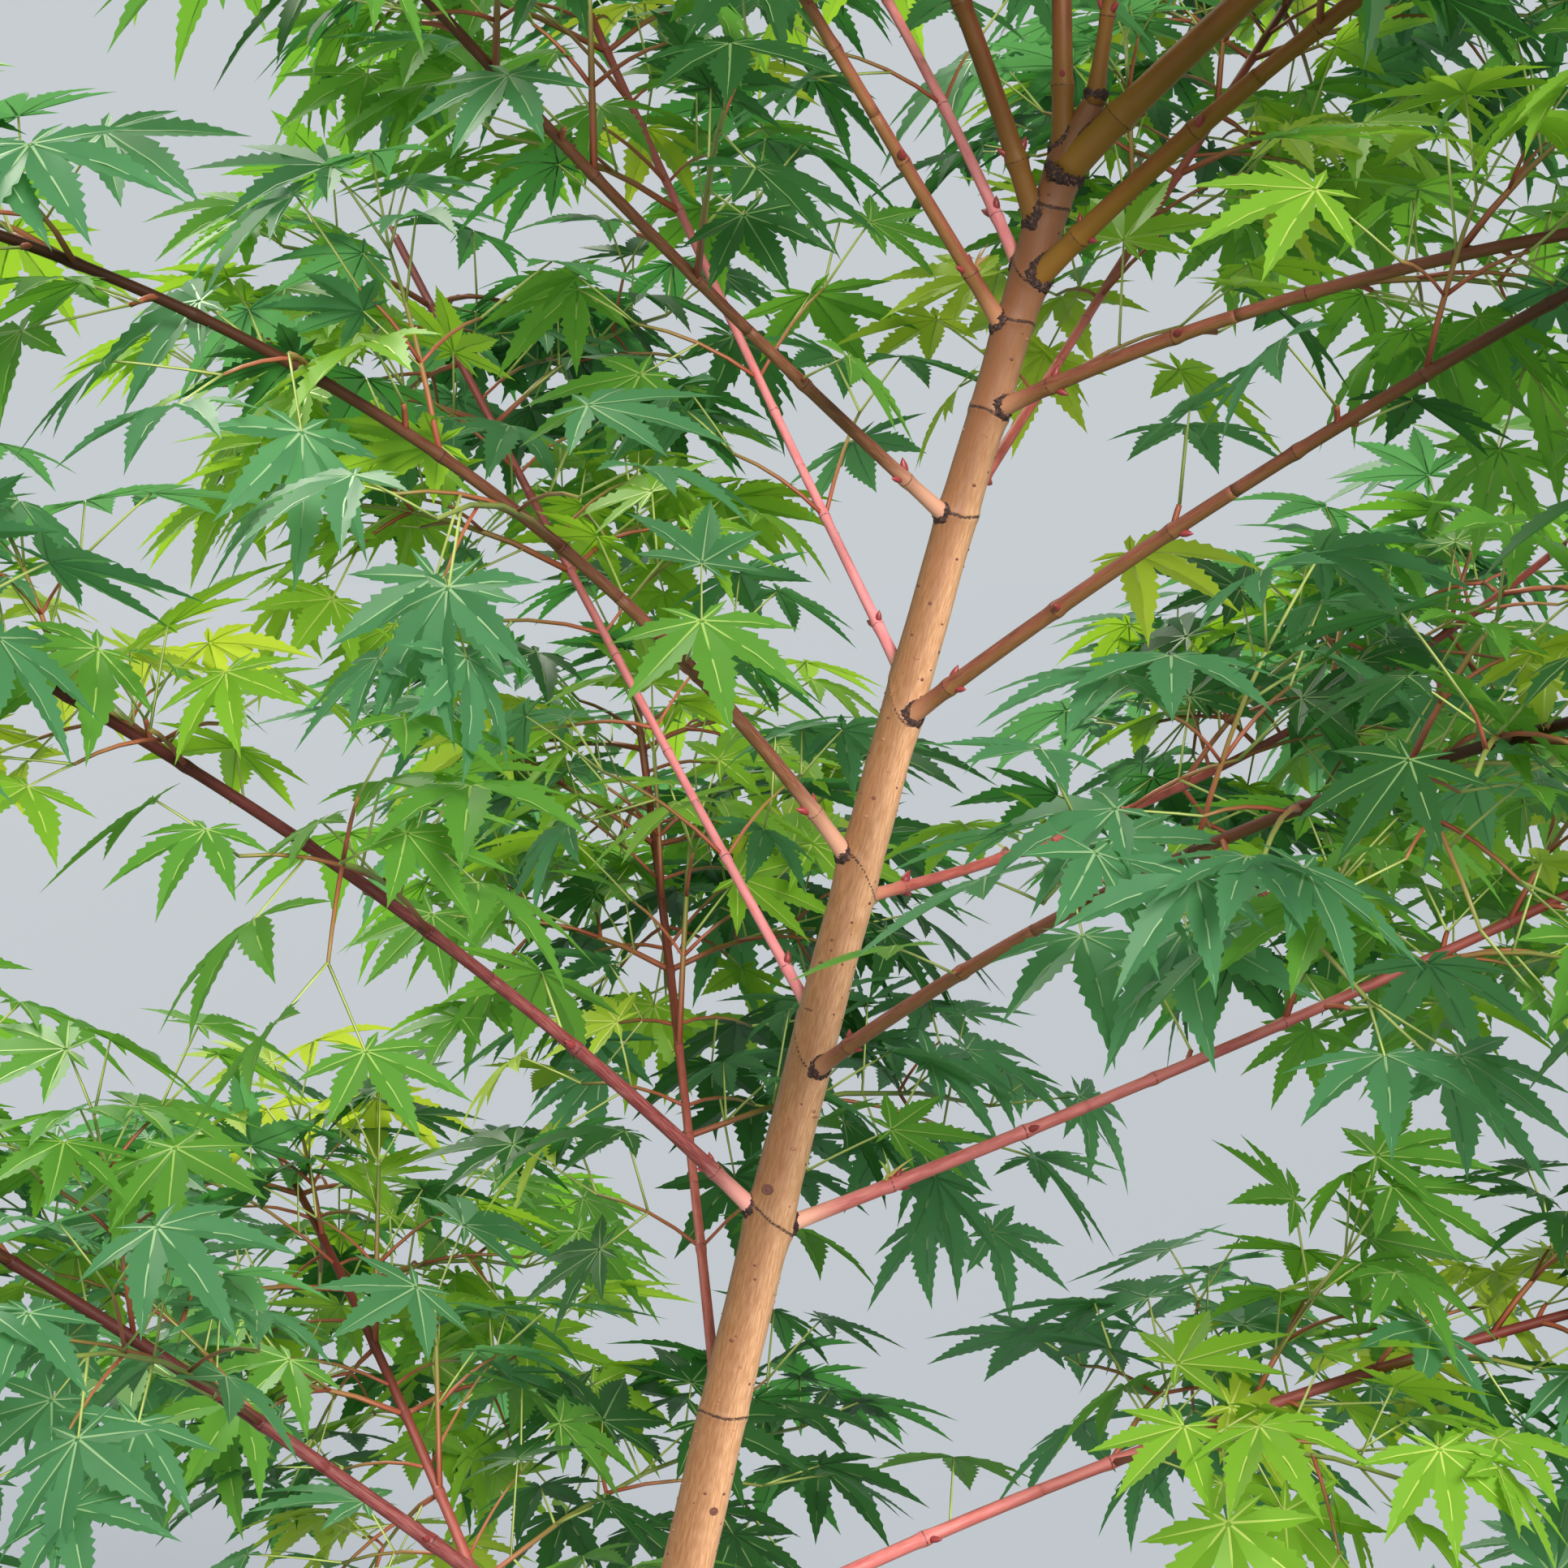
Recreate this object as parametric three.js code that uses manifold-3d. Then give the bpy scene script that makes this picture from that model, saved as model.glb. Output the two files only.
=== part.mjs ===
// A young coral-bark Japanese maple in a plain round clay pot.
// Millimetres, +Z up. The origin is the centre of the pot's flat underside.

import * as THREE from "three";
import { mergeVertices } from "three/addons/utils/BufferGeometryUtils.js";
import Module from "manifold-3d";

const wasm = await Module();
wasm.setup();

// Pot: a tapering wall under a thick collar
const POT_HEIGHT = 298;
const POT_FOOT_RADIUS = 122;
const POT_RIM_RADIUS = 165;
const POT_WALL = 11;
const POT_FLOOR = 14;
const COLLAR_HEIGHT = 42;
const COLLAR_PROUD = 9;
const COLLAR_ROUNDING = 4;
const COLLAR_BATTER = 1;
const DRAIN_RADIUS = 6.5;
const DRAIN_CIRCLE = 62;
const DRAIN_COUNT = 3;
const POT_SIDES = 36;
const DRAIN_SIDES = 8;

// Soil fills the pot to a little below its rim
const SOIL_LEVEL = 275;

// Pieces that touch on the real plant stay this far apart
const CLEARANCE = 0.3;

// Limbs follow lines of short straight steps
const LINE_STEP = 5;

// Trunk, by height above the soil. It leans to the right, more so towards its tip
const TRUNK_LENGTH = 888;
const TRUNK_LEAN = 11.6;
const TRUNK_LEAN_GROWTH = 110;
const TRUNK_EXTRA_LEAN = 6;
const TRUNK_FOOT_RADIUS = 11.5;
const TRUNK_MIDDLE_RADIUS = 8.4;
const TRUNK_MIDDLE = 420;
const TRUNK_TIP_RADIUS = 5.8;
const FLARE = 9;
const FLARE_HEIGHT = 24;
const FLARE_RIDGES = 5;
const FLARE_RIDGE_DEPTH = 0.3;
const TRUNK_SIDES = 12;
const TRUNK_STEPS = 22;
const TRUNK_CROWDING = 1.5;

// The trunk ends in a short bent stub, where the leading shoot goes on
const STUB_LENGTH = 18;
const STUB_LEAN = 10;
const STUB_TIP_RADIUS = 3.2;

// Boughs: they swell where they leave the trunk and taper to their tip
const BOUGH_SIDES = 6;
const BOUGH_STEPS = 4;
const BOUGH_TAPER = 0.82;
const COLLAR_SWELL = 1.3;
const COLLAR_REACH = 9;

// Foliage: a stem goes on from the bough's tip, with shoots in pairs and a leaf on each shoot
const STEM_SIDES = 3;
const STEM_STEPS = 5;
const STEM_TIP_RADIUS = 1.6;
const STEM_LAP = 6;
const FIRST_PAIR = 26;
const PAIR_SPACING = 53;
const PAIR_SPACING_AT_TIP = 30;
const SHOOT_SPREAD = 52;
const SHOOT_RADIUS = 1;
const SHOOT_TIP_RADIUS = 0.9;
const SHOOT_SHORTENING = 0.62;
const PAIR_SHARES = [1, 0.5, 0.6, 0.5];
const SHOOT_DROOP = 8;

// A leaf: five pointed lobes as angle from its middle line and share of the middle lobe's length
const LEAF_LENGTH = 66;
const LEAF_LOBES = [[-104, 0.56], [-52, 0.86], [0, 1], [52, 0.86], [104, 0.56]];
const LEAF_SINUS = 0.27;
const LEAF_STALK = 16;
const LEAF_STALK_HALF_WIDTH = 1.6;
const LEAF_NOTCH = 4;
const LEAF_HALF_THICKNESS = 1.3;
const LEAF_DROOP = 0.16;
const LEAF_HANG = 24;
const LEAF_TILT = 35;
const LOBE_HALF_WIDTH = 6;

// How far the seeded draws vary a shoot and its leaf: degrees, or shares of the length
const ROLL_VARIES = 20;
const SPREAD_VARIES = 8;
const SHOOT_VARIES = 0.15;
const HANG_VARIES = 15;
const LEAF_VARIES = 0.12;
const STEEPEST_FALL = 70;

// What a mass keeps clear of: other masses' spaces, limbs, and leaves of its own. The first share of a shoot
// is left out, since it stands in its own stem
const SPACE_MARGIN = 3;
const LIMB_MARGIN = 2;
const LEAF_MARGIN = 3;
const SHOOT_ROOT = 0.1;
const STRETCH = 30;
const TRIES = 4;

// Each bough: its name, its height up the trunk, its compass heading (0 is right, 90 is back) and how far
// that turns in each 100 mm, its rise above level and how far that bends in each 100 mm, the radius at its
// foot, its bare length, the length of its foliage's stem and the length of the foliage's longest shoots
const BOUGH_SIZES = ["name", "up", "heading", "turn", "rise", "bend", "radius", "bare", "leafy", "shoot"];
const BOUGHS = [
  ["01_left", 215, 192, 0, 36, -4, 3.2, 150, 330, 150],
  ["01_right", 215, 8, 0, 30, -4, 3.2, 150, 330, 150],
  ["02_front", 291, -78, -1, 20, -2, 2.8, 140, 290, 140],
  ["02_back", 291, 112, 0, 34, -3, 2.8, 140, 320, 160],
  ["03_left", 367, 188, 0, 40, -2.5, 3, 140, 320, 140],
  ["03_right", 385, 12, 0, 24, -3.5, 2.8, 140, 330, 140],
  ["04_back", 464, 96, 0, 35, -2, 2, 120, 320, 160],
  ["05_left", 533, 200, 1.5, 45, -5, 2.6, 130, 320, 130],
  ["05_right", 530, 15, 1.5, 18, 1, 2.6, 120, 330, 130],
  ["06_front_right", 582, -52, 0.5, 30, -4.5, 2.6, 130, 300, 120],
  ["06_back_left", 600, 120, -0.5, 39, 0, 1.9, 110, 330, 150],
  ["07_left", 651, 212, -2, 52, -9.5, 2.6, 130, 320, 120],
  ["07_back_right", 642, 50, -1.5, 4, 5, 2.1, 110, 330, 140],
  ["08_right", 700, -45, 2.5, 31, -2, 2.8, 160, 290, 120],
  ["08_back_left", 713, 122, -1, 47, 0, 1.9, 100, 310, 140],
  ["09_left", 767, 222, -1, 33, 2.5, 2.4, 110, 320, 120],
  ["09_back_right", 767, 62, 0, 34, 0, 2, 100, 320, 140],
  ["10_right", 803, -38, 4, 21, -6, 2.7, 100, 300, 110],
  ["11_left", 828, 215, -1, 52, 0.5, 2.6, 90, 320, 110],
  ["12_right", 844, -35, -1.5, 40, -6, 3.8, 110, 330, 120],
  ["12_back_left", 846, 134, 3, 60, -5, 2.1, 90, 320, 130],
  ["13_left", 861, 205, -4, 71, -5, 3.6, 110, 340, 130],
  ["14_right", 882, -22, 5, 43, -3, 5.2, 130, 380, 130],
  ["14_up", 884, 100, 0, 89, -7, 3.6, 130, 340, 130],
];

// The leading shoot goes on from the trunk's tip in the same way
const LEADER = ["15_top", TRUNK_LENGTH + STUB_LENGTH, -40, 0, 80, -3, 2.4, 120, 350, 130];
const LEADER_LIFT = 1;

// Finishes
const FINISHES = {
  clay: { color: 0xb5683f, roughness: 0.9 },
  soil: { color: 0x3a2a1f, roughness: 1 },
  trunk: { color: 0xd9985f, roughness: 0.6 },
  coral: { color: 0xb8524a, roughness: 0.5 },
  leaf: { color: 0x4f8f35, roughness: 0.55 },
};

function finish(name) {
  return new THREE.MeshStandardMaterial({ ...FINISHES[name], metalness: 0 });
}

// Solids

function solidOf(geometry) {
  const bare = geometry.clone();
  bare.deleteAttribute("normal");
  bare.deleteAttribute("uv");
  const merged = mergeVertices(bare, 1e-4);
  return new wasm.Manifold(new wasm.Mesh({
    numProp: 3,
    vertProperties: new Float32Array(merged.attributes.position.array),
    triVerts: new Uint32Array(merged.index.array),
  }));
}

// The largest body of a solid, without loose scraps or sealed hollows
function wholeBody(solid) {
  const bodies = solid.decompose();
  return bodies.reduce((largest, body) => (body.volume() > largest.volume() ? body : largest));
}

function pieceOf(name, solid, material) {
  const mesh = solid.getMesh();
  const geometry = new THREE.BufferGeometry();
  geometry.setAttribute("position", new THREE.BufferAttribute(mesh.vertProperties, 3));
  geometry.setIndex(new THREE.BufferAttribute(mesh.triVerts, 1));
  geometry.computeVertexNormals();
  const piece = new THREE.Mesh(geometry, material);
  piece.name = name;
  return piece;
}

// Lines that limbs follow

// The unit vector of a rise above level and a compass heading, in degrees
function directionOf(rise, heading) {
  const up = THREE.MathUtils.degToRad(rise);
  const round = THREE.MathUtils.degToRad(heading);
  return new THREE.Vector3(Math.cos(up) * Math.cos(round), Math.cos(up) * Math.sin(round), Math.sin(up));
}

// A line that starts at a point and bends by a law: directionAt gives its direction at each arc length
class GrownLine {
  constructor(start, length, directionAt) {
    this.directionAt = directionAt;
    this.points = [start.clone()];
    for (let arc = 0; arc < length; arc += LINE_STEP) {
      const step = directionAt(arc + LINE_STEP / 2).multiplyScalar(LINE_STEP);
      this.points.push(this.points.at(-1).clone().add(step));
    }
  }

  pointAt(arc) {
    const place = Math.min(Math.max(arc / LINE_STEP, 0), this.points.length - 1.001);
    const before = Math.floor(place);
    return this.points[before].clone().lerp(this.points[before + 1], place - before);
  }
}

function boughLine(bough, start) {
  return new GrownLine(start, bough.bare + bough.leafy, (arc) =>
    directionOf(bough.rise + (bough.bend * arc) / 100, bough.heading + (bough.turn * arc) / 100));
}

// A closed tapering limb: a prism with a many-sided section, bent onto a line between two arc lengths. Its
// steps are even, or closer together near its foot with crowding over 1
function limb(line, from, to, sides, steps, radiusAt, crowding = 1) {
  const corners = Array.from({ length: sides }, (_, side) => {
    const turn = (2 * Math.PI * side) / sides;
    return new THREE.Vector2(Math.cos(turn), Math.sin(turn));
  });
  const settings = { depth: 1, steps, bevelEnabled: false };
  const geometry = new THREE.ExtrudeGeometry(new THREE.Shape(corners), settings);
  const places = geometry.attributes.position;
  for (let i = 0; i < places.count; i++) {
    const arc = THREE.MathUtils.lerp(from, to, places.getZ(i) ** crowding);
    const along = line.directionAt(arc);
    const heading = Math.atan2(along.y, along.x);
    const side = new THREE.Vector3(-Math.sin(heading), Math.cos(heading), 0);
    const over = along.clone().cross(side);
    const radius = radiusAt(arc, Math.atan2(places.getY(i), places.getX(i)));
    const point = line.pointAt(arc);
    point.addScaledVector(side, radius * places.getX(i));
    point.addScaledVector(over, radius * places.getY(i));
    places.setXYZ(i, point.x, point.y, point.z);
  }
  return solidOf(geometry);
}

// Pot and soil

const wallSlope = (POT_RIM_RADIUS - POT_FOOT_RADIUS) / POT_HEIGHT;
const outerRadius = (height) => POT_FOOT_RADIUS + wallSlope * height;
const innerRadius = (height) => outerRadius(height) - POT_WALL;

function lathe(profile) {
  const points = profile.map(([radius, height]) => new THREE.Vector2(radius, height));
  return solidOf(new THREE.LatheGeometry(points, POT_SIDES).rotateX(Math.PI / 2));
}

function potSolid() {
  const collarFoot = POT_HEIGHT - COLLAR_HEIGHT;
  const collarRadius = POT_RIM_RADIUS + COLLAR_PROUD;
  let pot = lathe([
    [0, 0],
    [POT_FOOT_RADIUS - COLLAR_ROUNDING, 0],
    [outerRadius(COLLAR_ROUNDING), COLLAR_ROUNDING],
    [outerRadius(collarFoot), collarFoot],
    [collarRadius - COLLAR_ROUNDING, collarFoot],
    [collarRadius - COLLAR_BATTER, collarFoot + COLLAR_ROUNDING],
    [collarRadius, POT_HEIGHT - COLLAR_ROUNDING],
    [collarRadius - COLLAR_ROUNDING, POT_HEIGHT],
    [innerRadius(POT_HEIGHT) + COLLAR_ROUNDING, POT_HEIGHT],
    [innerRadius(POT_HEIGHT - COLLAR_ROUNDING), POT_HEIGHT - COLLAR_ROUNDING],
    [innerRadius(POT_FLOOR), POT_FLOOR],
    [0, POT_FLOOR],
  ]);
  for (let i = 0; i < DRAIN_COUNT; i++) {
    const turn = (2 * Math.PI * i) / DRAIN_COUNT;
    const drain = new THREE.CylinderGeometry(DRAIN_RADIUS, DRAIN_RADIUS, 3 * POT_FLOOR, DRAIN_SIDES);
    drain.rotateX(Math.PI / 2);
    drain.translate(DRAIN_CIRCLE * Math.cos(turn), DRAIN_CIRCLE * Math.sin(turn), 0);
    pot = pot.subtract(solidOf(drain));
  }
  return pot;
}

function soilSolid() {
  const foot = POT_FLOOR + CLEARANCE;
  return lathe([
    [0, foot],
    [innerRadius(foot) - CLEARANCE, foot],
    [innerRadius(SOIL_LEVEL) - CLEARANCE, SOIL_LEVEL],
    [0, SOIL_LEVEL],
  ]);
}

// Trunk

function trunkLean(height) {
  const settled = TRUNK_LEAN * (1 - Math.exp(-height / TRUNK_LEAN_GROWTH));
  const bent = TRUNK_EXTRA_LEAN * (height / TRUNK_LENGTH) ** 2;
  return settled + bent + (height > TRUNK_LENGTH ? STUB_LEAN : 0);
}

function trunkRadius(height) {
  const { lerp } = THREE.MathUtils;
  if (height > TRUNK_LENGTH) {
    return lerp(TRUNK_TIP_RADIUS, STUB_TIP_RADIUS, (height - TRUNK_LENGTH) / STUB_LENGTH);
  }
  if (height > TRUNK_MIDDLE) {
    const share = (height - TRUNK_MIDDLE) / (TRUNK_LENGTH - TRUNK_MIDDLE);
    return lerp(TRUNK_MIDDLE_RADIUS, TRUNK_TIP_RADIUS, share);
  }
  return lerp(TRUNK_FOOT_RADIUS, TRUNK_MIDDLE_RADIUS, height / TRUNK_MIDDLE);
}

function flaredRadius(height, turn) {
  const ridges = 1 + FLARE_RIDGE_DEPTH * Math.sin(FLARE_RIDGES * turn);
  return trunkRadius(height) + FLARE * ridges * Math.exp(-height / FLARE_HEIGHT);
}

// Heights are measured straight up, so each step along the trunk is longer by its lean
class TrunkLine extends GrownLine {
  constructor(foot) {
    super(foot, TRUNK_LENGTH + STUB_LENGTH + 2 * LINE_STEP, (height) => {
      const lean = THREE.MathUtils.degToRad(trunkLean(height));
      return new THREE.Vector3(Math.tan(lean), 0, 1);
    });
  }
}

const trunkLine = new TrunkLine(new THREE.Vector3(0, 0, SOIL_LEVEL + CLEARANCE));

// The trunk, or with extra the space round it that its boughs are cut back from
function trunkSolid(extra) {
  const radiusAt = (height, turn) => flaredRadius(height, turn) + extra;
  const top = TRUNK_LENGTH + STUB_LENGTH + extra;
  return limb(trunkLine, 0, top, TRUNK_SIDES, TRUNK_STEPS, radiusAt, TRUNK_CROWDING);
}

// Boughs

// A bough by the names of its sizes, with the line it follows from the middle of the trunk
function grownBough(row, lift) {
  const bough = Object.fromEntries(row.map((size, i) => [BOUGH_SIZES[i], size]));
  const foot = trunkLine.pointAt(bough.up);
  foot.addScaledVector(directionOf(bough.rise, bough.heading), lift);
  return { ...bough, line: boughLine(bough, foot) };
}

const boughs = BOUGHS.map((row) => grownBough(row, 0));
boughs.push(grownBough(LEADER, LEADER_LIFT));

function boughRadius(bough, arc) {
  const tapered = bough.radius * THREE.MathUtils.lerp(1, BOUGH_TAPER, arc / bough.bare);
  return tapered + COLLAR_SWELL * Math.exp(-arc / COLLAR_REACH);
}

function boughSolid(bough, extra) {
  return limb(bough.line, 0, bough.bare, BOUGH_SIDES, BOUGH_STEPS, (arc) => boughRadius(bough, arc) + extra);
}

// Foliage

// Evenly spread random numbers from 0 to 1, the same for the same seed
function seeded(seed) {
  let state = Math.imul(seed, 2654435761) >>> 0;
  return () => {
    state = (Math.imul(state, 1664525) + 1013904223) >>> 0;
    return state / 2 ** 32;
  };
}

// Every stem as short straight stretches, to tell whose space a point lies in
function stretchesOf(line, from, to) {
  const count = Math.ceil((to - from) / STRETCH);
  const arcs = Array.from({ length: count + 1 }, (_, i) => THREE.MathUtils.lerp(from, to, i / count));
  return arcs.slice(1).map((arc, i) => [line.pointAt(arcs[i]), line.pointAt(arc)]);
}

const stems = boughs.map((bough) => stretchesOf(bough.line, bough.bare, bough.bare + bough.leafy));
const limbs = boughs.flatMap((bough) =>
  stretchesOf(bough.line, 0, bough.bare).map((ends) => ({ ends, radius: bough.radius })));
for (const ends of stretchesOf(trunkLine, 0, TRUNK_LENGTH + STUB_LENGTH)) {
  limbs.push({ ends, radius: TRUNK_FOOT_RADIUS });
}

// The shortest distance between two straight stretches
function distanceBetween([a, b], [c, d]) {
  const first = b.clone().sub(a);
  const second = d.clone().sub(c);
  const apart = a.clone().sub(c);
  const firstSquare = first.lengthSq() + 1e-9;
  const secondSquare = second.lengthSq() + 1e-9;
  const mixed = first.dot(second);
  const span = firstSquare * secondSquare - mixed * mixed;
  const clamp = (value) => Math.min(Math.max(value, 0), 1);
  let s = span > 1e-6 ? clamp((mixed * second.dot(apart) - secondSquare * first.dot(apart)) / span) : 0;
  const t = clamp((mixed * s + second.dot(apart)) / secondSquare);
  s = clamp((mixed * t - first.dot(apart)) / firstSquare);
  return a.clone().addScaledVector(first, s).distanceTo(c.clone().addScaledVector(second, t));
}

// True where a stretch keeps to its own stem's space and clear of every bough and the trunk
function fits(owner, ends, halfWidth) {
  const kept = halfWidth + LIMB_MARGIN;
  if (!limbs.every((other) => distanceBetween(ends, other.ends) > other.radius + kept)) {
    return false;
  }
  return [0, 0.5, 1].every((share) => {
    const point = ends[0].clone().lerp(ends[1], share);
    const awayFrom = (stem) => Math.min(...stem.map((other) => distanceBetween([point, point], other)));
    const away = stems.map(awayFrom);
    return away.every((distance, stem) => stem === owner || distance > away[owner] + SPACE_MARGIN);
  });
}

// Turns a stem's direction out to one side: roll 0 is level, 90 is up and 180 is level on the other side
function sideways(along, roll, spread) {
  const heading = Math.atan2(along.y, along.x);
  const side = new THREE.Vector3(-Math.sin(heading), Math.cos(heading), 0);
  const over = along.clone().cross(side);
  const turn = THREE.MathUtils.degToRad(roll);
  const out = side.multiplyScalar(Math.cos(turn)).addScaledVector(over, Math.sin(turn));
  const angle = THREE.MathUtils.degToRad(spread);
  return along.clone().multiplyScalar(Math.cos(angle)).addScaledVector(out, Math.sin(angle)).normalize();
}

// A direction lowered towards the ground by an angle in degrees
function lowered(way, angle) {
  const level = Math.hypot(way.x, way.y);
  const rise = THREE.MathUtils.radToDeg(Math.atan2(way.z, level)) - angle;
  return directionOf(Math.max(rise, -STEEPEST_FALL), THREE.MathUtils.radToDeg(Math.atan2(way.y, way.x)));
}

// A shoot with its leaf. The shoot runs straight from foot to tip, the stalk goes on from there to the heart,
// where the lobes meet, and the blade's middle line hangs lower than the shoot, tilted to one side
function shootOf(foot, way, length, hang, tilt, leafLength) {
  const tip = foot.clone().addScaledVector(way, length);
  const heart = tip.clone().addScaledVector(way, LEAF_STALK);
  const middle = lowered(way, hang);
  const level = new THREE.Vector3(-middle.y, middle.x, 0).normalize();
  const turn = THREE.MathUtils.degToRad(tilt);
  const normal = middle.clone().cross(level).multiplyScalar(Math.cos(turn));
  normal.addScaledVector(level, Math.sin(turn));
  return { foot, way, tip, heart, middle, normal, across: normal.clone().cross(middle), leafLength };
}

function bladePoint(shoot, along, across, up) {
  return shoot.heart.clone()
    .addScaledVector(shoot.middle, along)
    .addScaledVector(shoot.across, across)
    .addScaledVector(shoot.normal, up);
}

// The blade's point at an angle from its middle line and a share of its length, lower as it is further out
function lobePoint(shoot, angle, share) {
  const turn = THREE.MathUtils.degToRad(angle);
  const reach = share * shoot.leafLength;
  return bladePoint(shoot, reach * Math.cos(turn), reach * Math.sin(turn), -LEAF_DROOP * reach * share);
}

// The blade's edge from one side of the stalk to the other, lobe tip by lobe tip with a bay between each two
function bladeEdge(shoot) {
  const edge = [bladePoint(shoot, -LEAF_NOTCH, -LEAF_STALK_HALF_WIDTH, 0)];
  LEAF_LOBES.forEach(([angle, share], lobe) => {
    edge.push(lobePoint(shoot, angle, share));
    if (lobe < LEAF_LOBES.length - 1) {
      edge.push(lobePoint(shoot, (angle + LEAF_LOBES[lobe + 1][0]) / 2, LEAF_SINUS));
    }
  });
  edge.push(bladePoint(shoot, -LEAF_NOTCH, LEAF_STALK_HALF_WIDTH, 0));
  return edge;
}

// The three corners of a shoot's section at a point: its ridge and its two lower edges
function sectionAt(shoot, point, radius) {
  const heading = Math.atan2(shoot.way.y, shoot.way.x);
  const side = new THREE.Vector3(-Math.sin(heading), Math.cos(heading), 0);
  const over = shoot.way.clone().cross(side);
  return [90, 210, 330].map((degrees) => {
    const turn = THREE.MathUtils.degToRad(degrees);
    const corner = point.clone().addScaledVector(side, radius * Math.cos(turn));
    return corner.addScaledVector(over, radius * Math.sin(turn));
  });
}

// One closed skin: three sides run from the shoot's foot to its tip and open into the leaf, which has a fan
// of faces over its edge and one under it, and is thickest at its heart
function shootSolid(shoot) {
  const [footRidge, footLeft, footRight] = sectionAt(shoot, shoot.foot, SHOOT_RADIUS);
  const [ridge, left, right] = sectionAt(shoot, shoot.tip, SHOOT_TIP_RADIUS);
  const over = bladePoint(shoot, 0, 0, LEAF_HALF_THICKNESS);
  const under = bladePoint(shoot, 0, 0, -LEAF_HALF_THICKNESS);
  const edge = [left, ...bladeEdge(shoot), right];
  const faces = edge.slice(1).flatMap((next, i) => [[over, edge[i], next], [under, next, edge[i]]]);
  faces.push([over, right, ridge], [over, ridge, left], [under, left, right]);
  faces.push([footRidge, footLeft, left], [footRidge, left, ridge]);
  faces.push([footLeft, footRight, right], [footLeft, right, left]);
  faces.push([footRight, footRidge, ridge], [footRight, ridge, right]);
  faces.push([footRidge, footRight, footLeft]);
  return solidOf(new THREE.BufferGeometry().setFromPoints(faces.flat()));
}

// The middle lines of a leaf's lobes
function lobesOf(shoot) {
  return LEAF_LOBES.map(([angle, share]) => [shoot.heart, lobePoint(shoot, angle, share)]);
}

// The shoots and leaves of one mass. Pairs of shoots stand along the stem, level and upright by turns, long
// and short by turns, and shorter towards its tip. Each shoot ends in a leaf, and so does the stem. A shoot
// that would leave the mass's space, or touch a limb or another leaf, is tried a few times, then skipped
function growFoliage(bough, owner) {
  const random = seeded(owner + 1);
  const spread = (range) => (2 * random() - 1) * range;
  const end = bough.bare + bough.leafy;
  const stemTip = bough.line.pointAt(end - STEM_LAP);
  const stemWay = bough.line.directionAt(end);
  const last = shootOf(stemTip, stemWay, 2 * STEM_LAP, LEAF_HANG, spread(LEAF_TILT), LEAF_LENGTH);
  const shoots = [last];
  const lobes = lobesOf(last);

  function growShoot(arc, roll, reach) {
    const turned = roll + spread(ROLL_VARIES);
    const out = sideways(bough.line.directionAt(arc), turned, SHOOT_SPREAD + spread(SPREAD_VARIES));
    const way = lowered(out, SHOOT_DROOP);
    const length = reach * (1 + spread(SHOOT_VARIES));
    const hang = LEAF_HANG + spread(HANG_VARIES);
    const leafLength = LEAF_LENGTH * (1 + spread(LEAF_VARIES));
    const shoot = shootOf(bough.line.pointAt(arc), way, length, hang, spread(LEAF_TILT), leafLength);
    const own = lobesOf(shoot);
    const free = shoot.foot.clone().lerp(shoot.tip, SHOOT_ROOT);
    const stays = fits(owner, [free, shoot.heart], SHOOT_RADIUS)
      && own.every((lobe) => fits(owner, lobe, LOBE_HALF_WIDTH))
      && own.every((lobe) => lobes.every((other) => distanceBetween(lobe, other) > LEAF_MARGIN));
    if (stays) {
      shoots.push(shoot);
      lobes.push(...own);
    }
    return stays;
  }

  let arc = bough.bare + FIRST_PAIR;
  for (let pair = 0; arc < end - PAIR_SPACING_AT_TIP; pair++) {
    const share = (arc - bough.bare) / bough.leafy;
    const reach = bough.shoot * (1 - SHOOT_SHORTENING * share) * PAIR_SHARES[pair % PAIR_SHARES.length];
    for (const roll of pair % 2 === 0 ? [0, 180] : [90, 270]) {
      let grown = false;
      for (let go = 0; go < TRIES && !grown; go++) {
        grown = growShoot(arc, roll, reach);
      }
    }
    arc += THREE.MathUtils.lerp(PAIR_SPACING, PAIR_SPACING_AT_TIP, share);
  }
  return shoots;
}

function foliageSolid(bough, owner) {
  const from = bough.bare + CLEARANCE;
  const end = bough.bare + bough.leafy;
  const foot = bough.radius * BOUGH_TAPER;
  const radiusAt = (arc) => THREE.MathUtils.mapLinear(arc, from, end, foot, STEM_TIP_RADIUS);
  const stem = limb(bough.line, from, end, STEM_SIDES, STEM_STEPS, radiusAt);
  const shoots = growFoliage(bough, owner);
  return wholeBody(shoots.map(shootSolid).reduce((grown, shoot) => grown.add(shoot), stem));
}

// The plant in its pot

const plant = new THREE.Group();
plant.add(pieceOf("pot", potSolid(), finish("clay")));
plant.add(pieceOf("soil", soilSolid(), finish("soil")));
plant.add(pieceOf("trunk", trunkSolid(0), finish("trunk")));
let taken = trunkSolid(CLEARANCE);
boughs.forEach((bough, owner) => {
  const cut = wholeBody(boughSolid(bough, 0).subtract(taken));
  taken = taken.add(boughSolid(bough, CLEARANCE));
  plant.add(pieceOf(`bough_${bough.name}`, cut, finish("coral")));
  plant.add(pieceOf(`foliage_${bough.name}`, foliageSolid(bough, owner), finish("leaf")));
});

export default plant;
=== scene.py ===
import math

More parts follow.
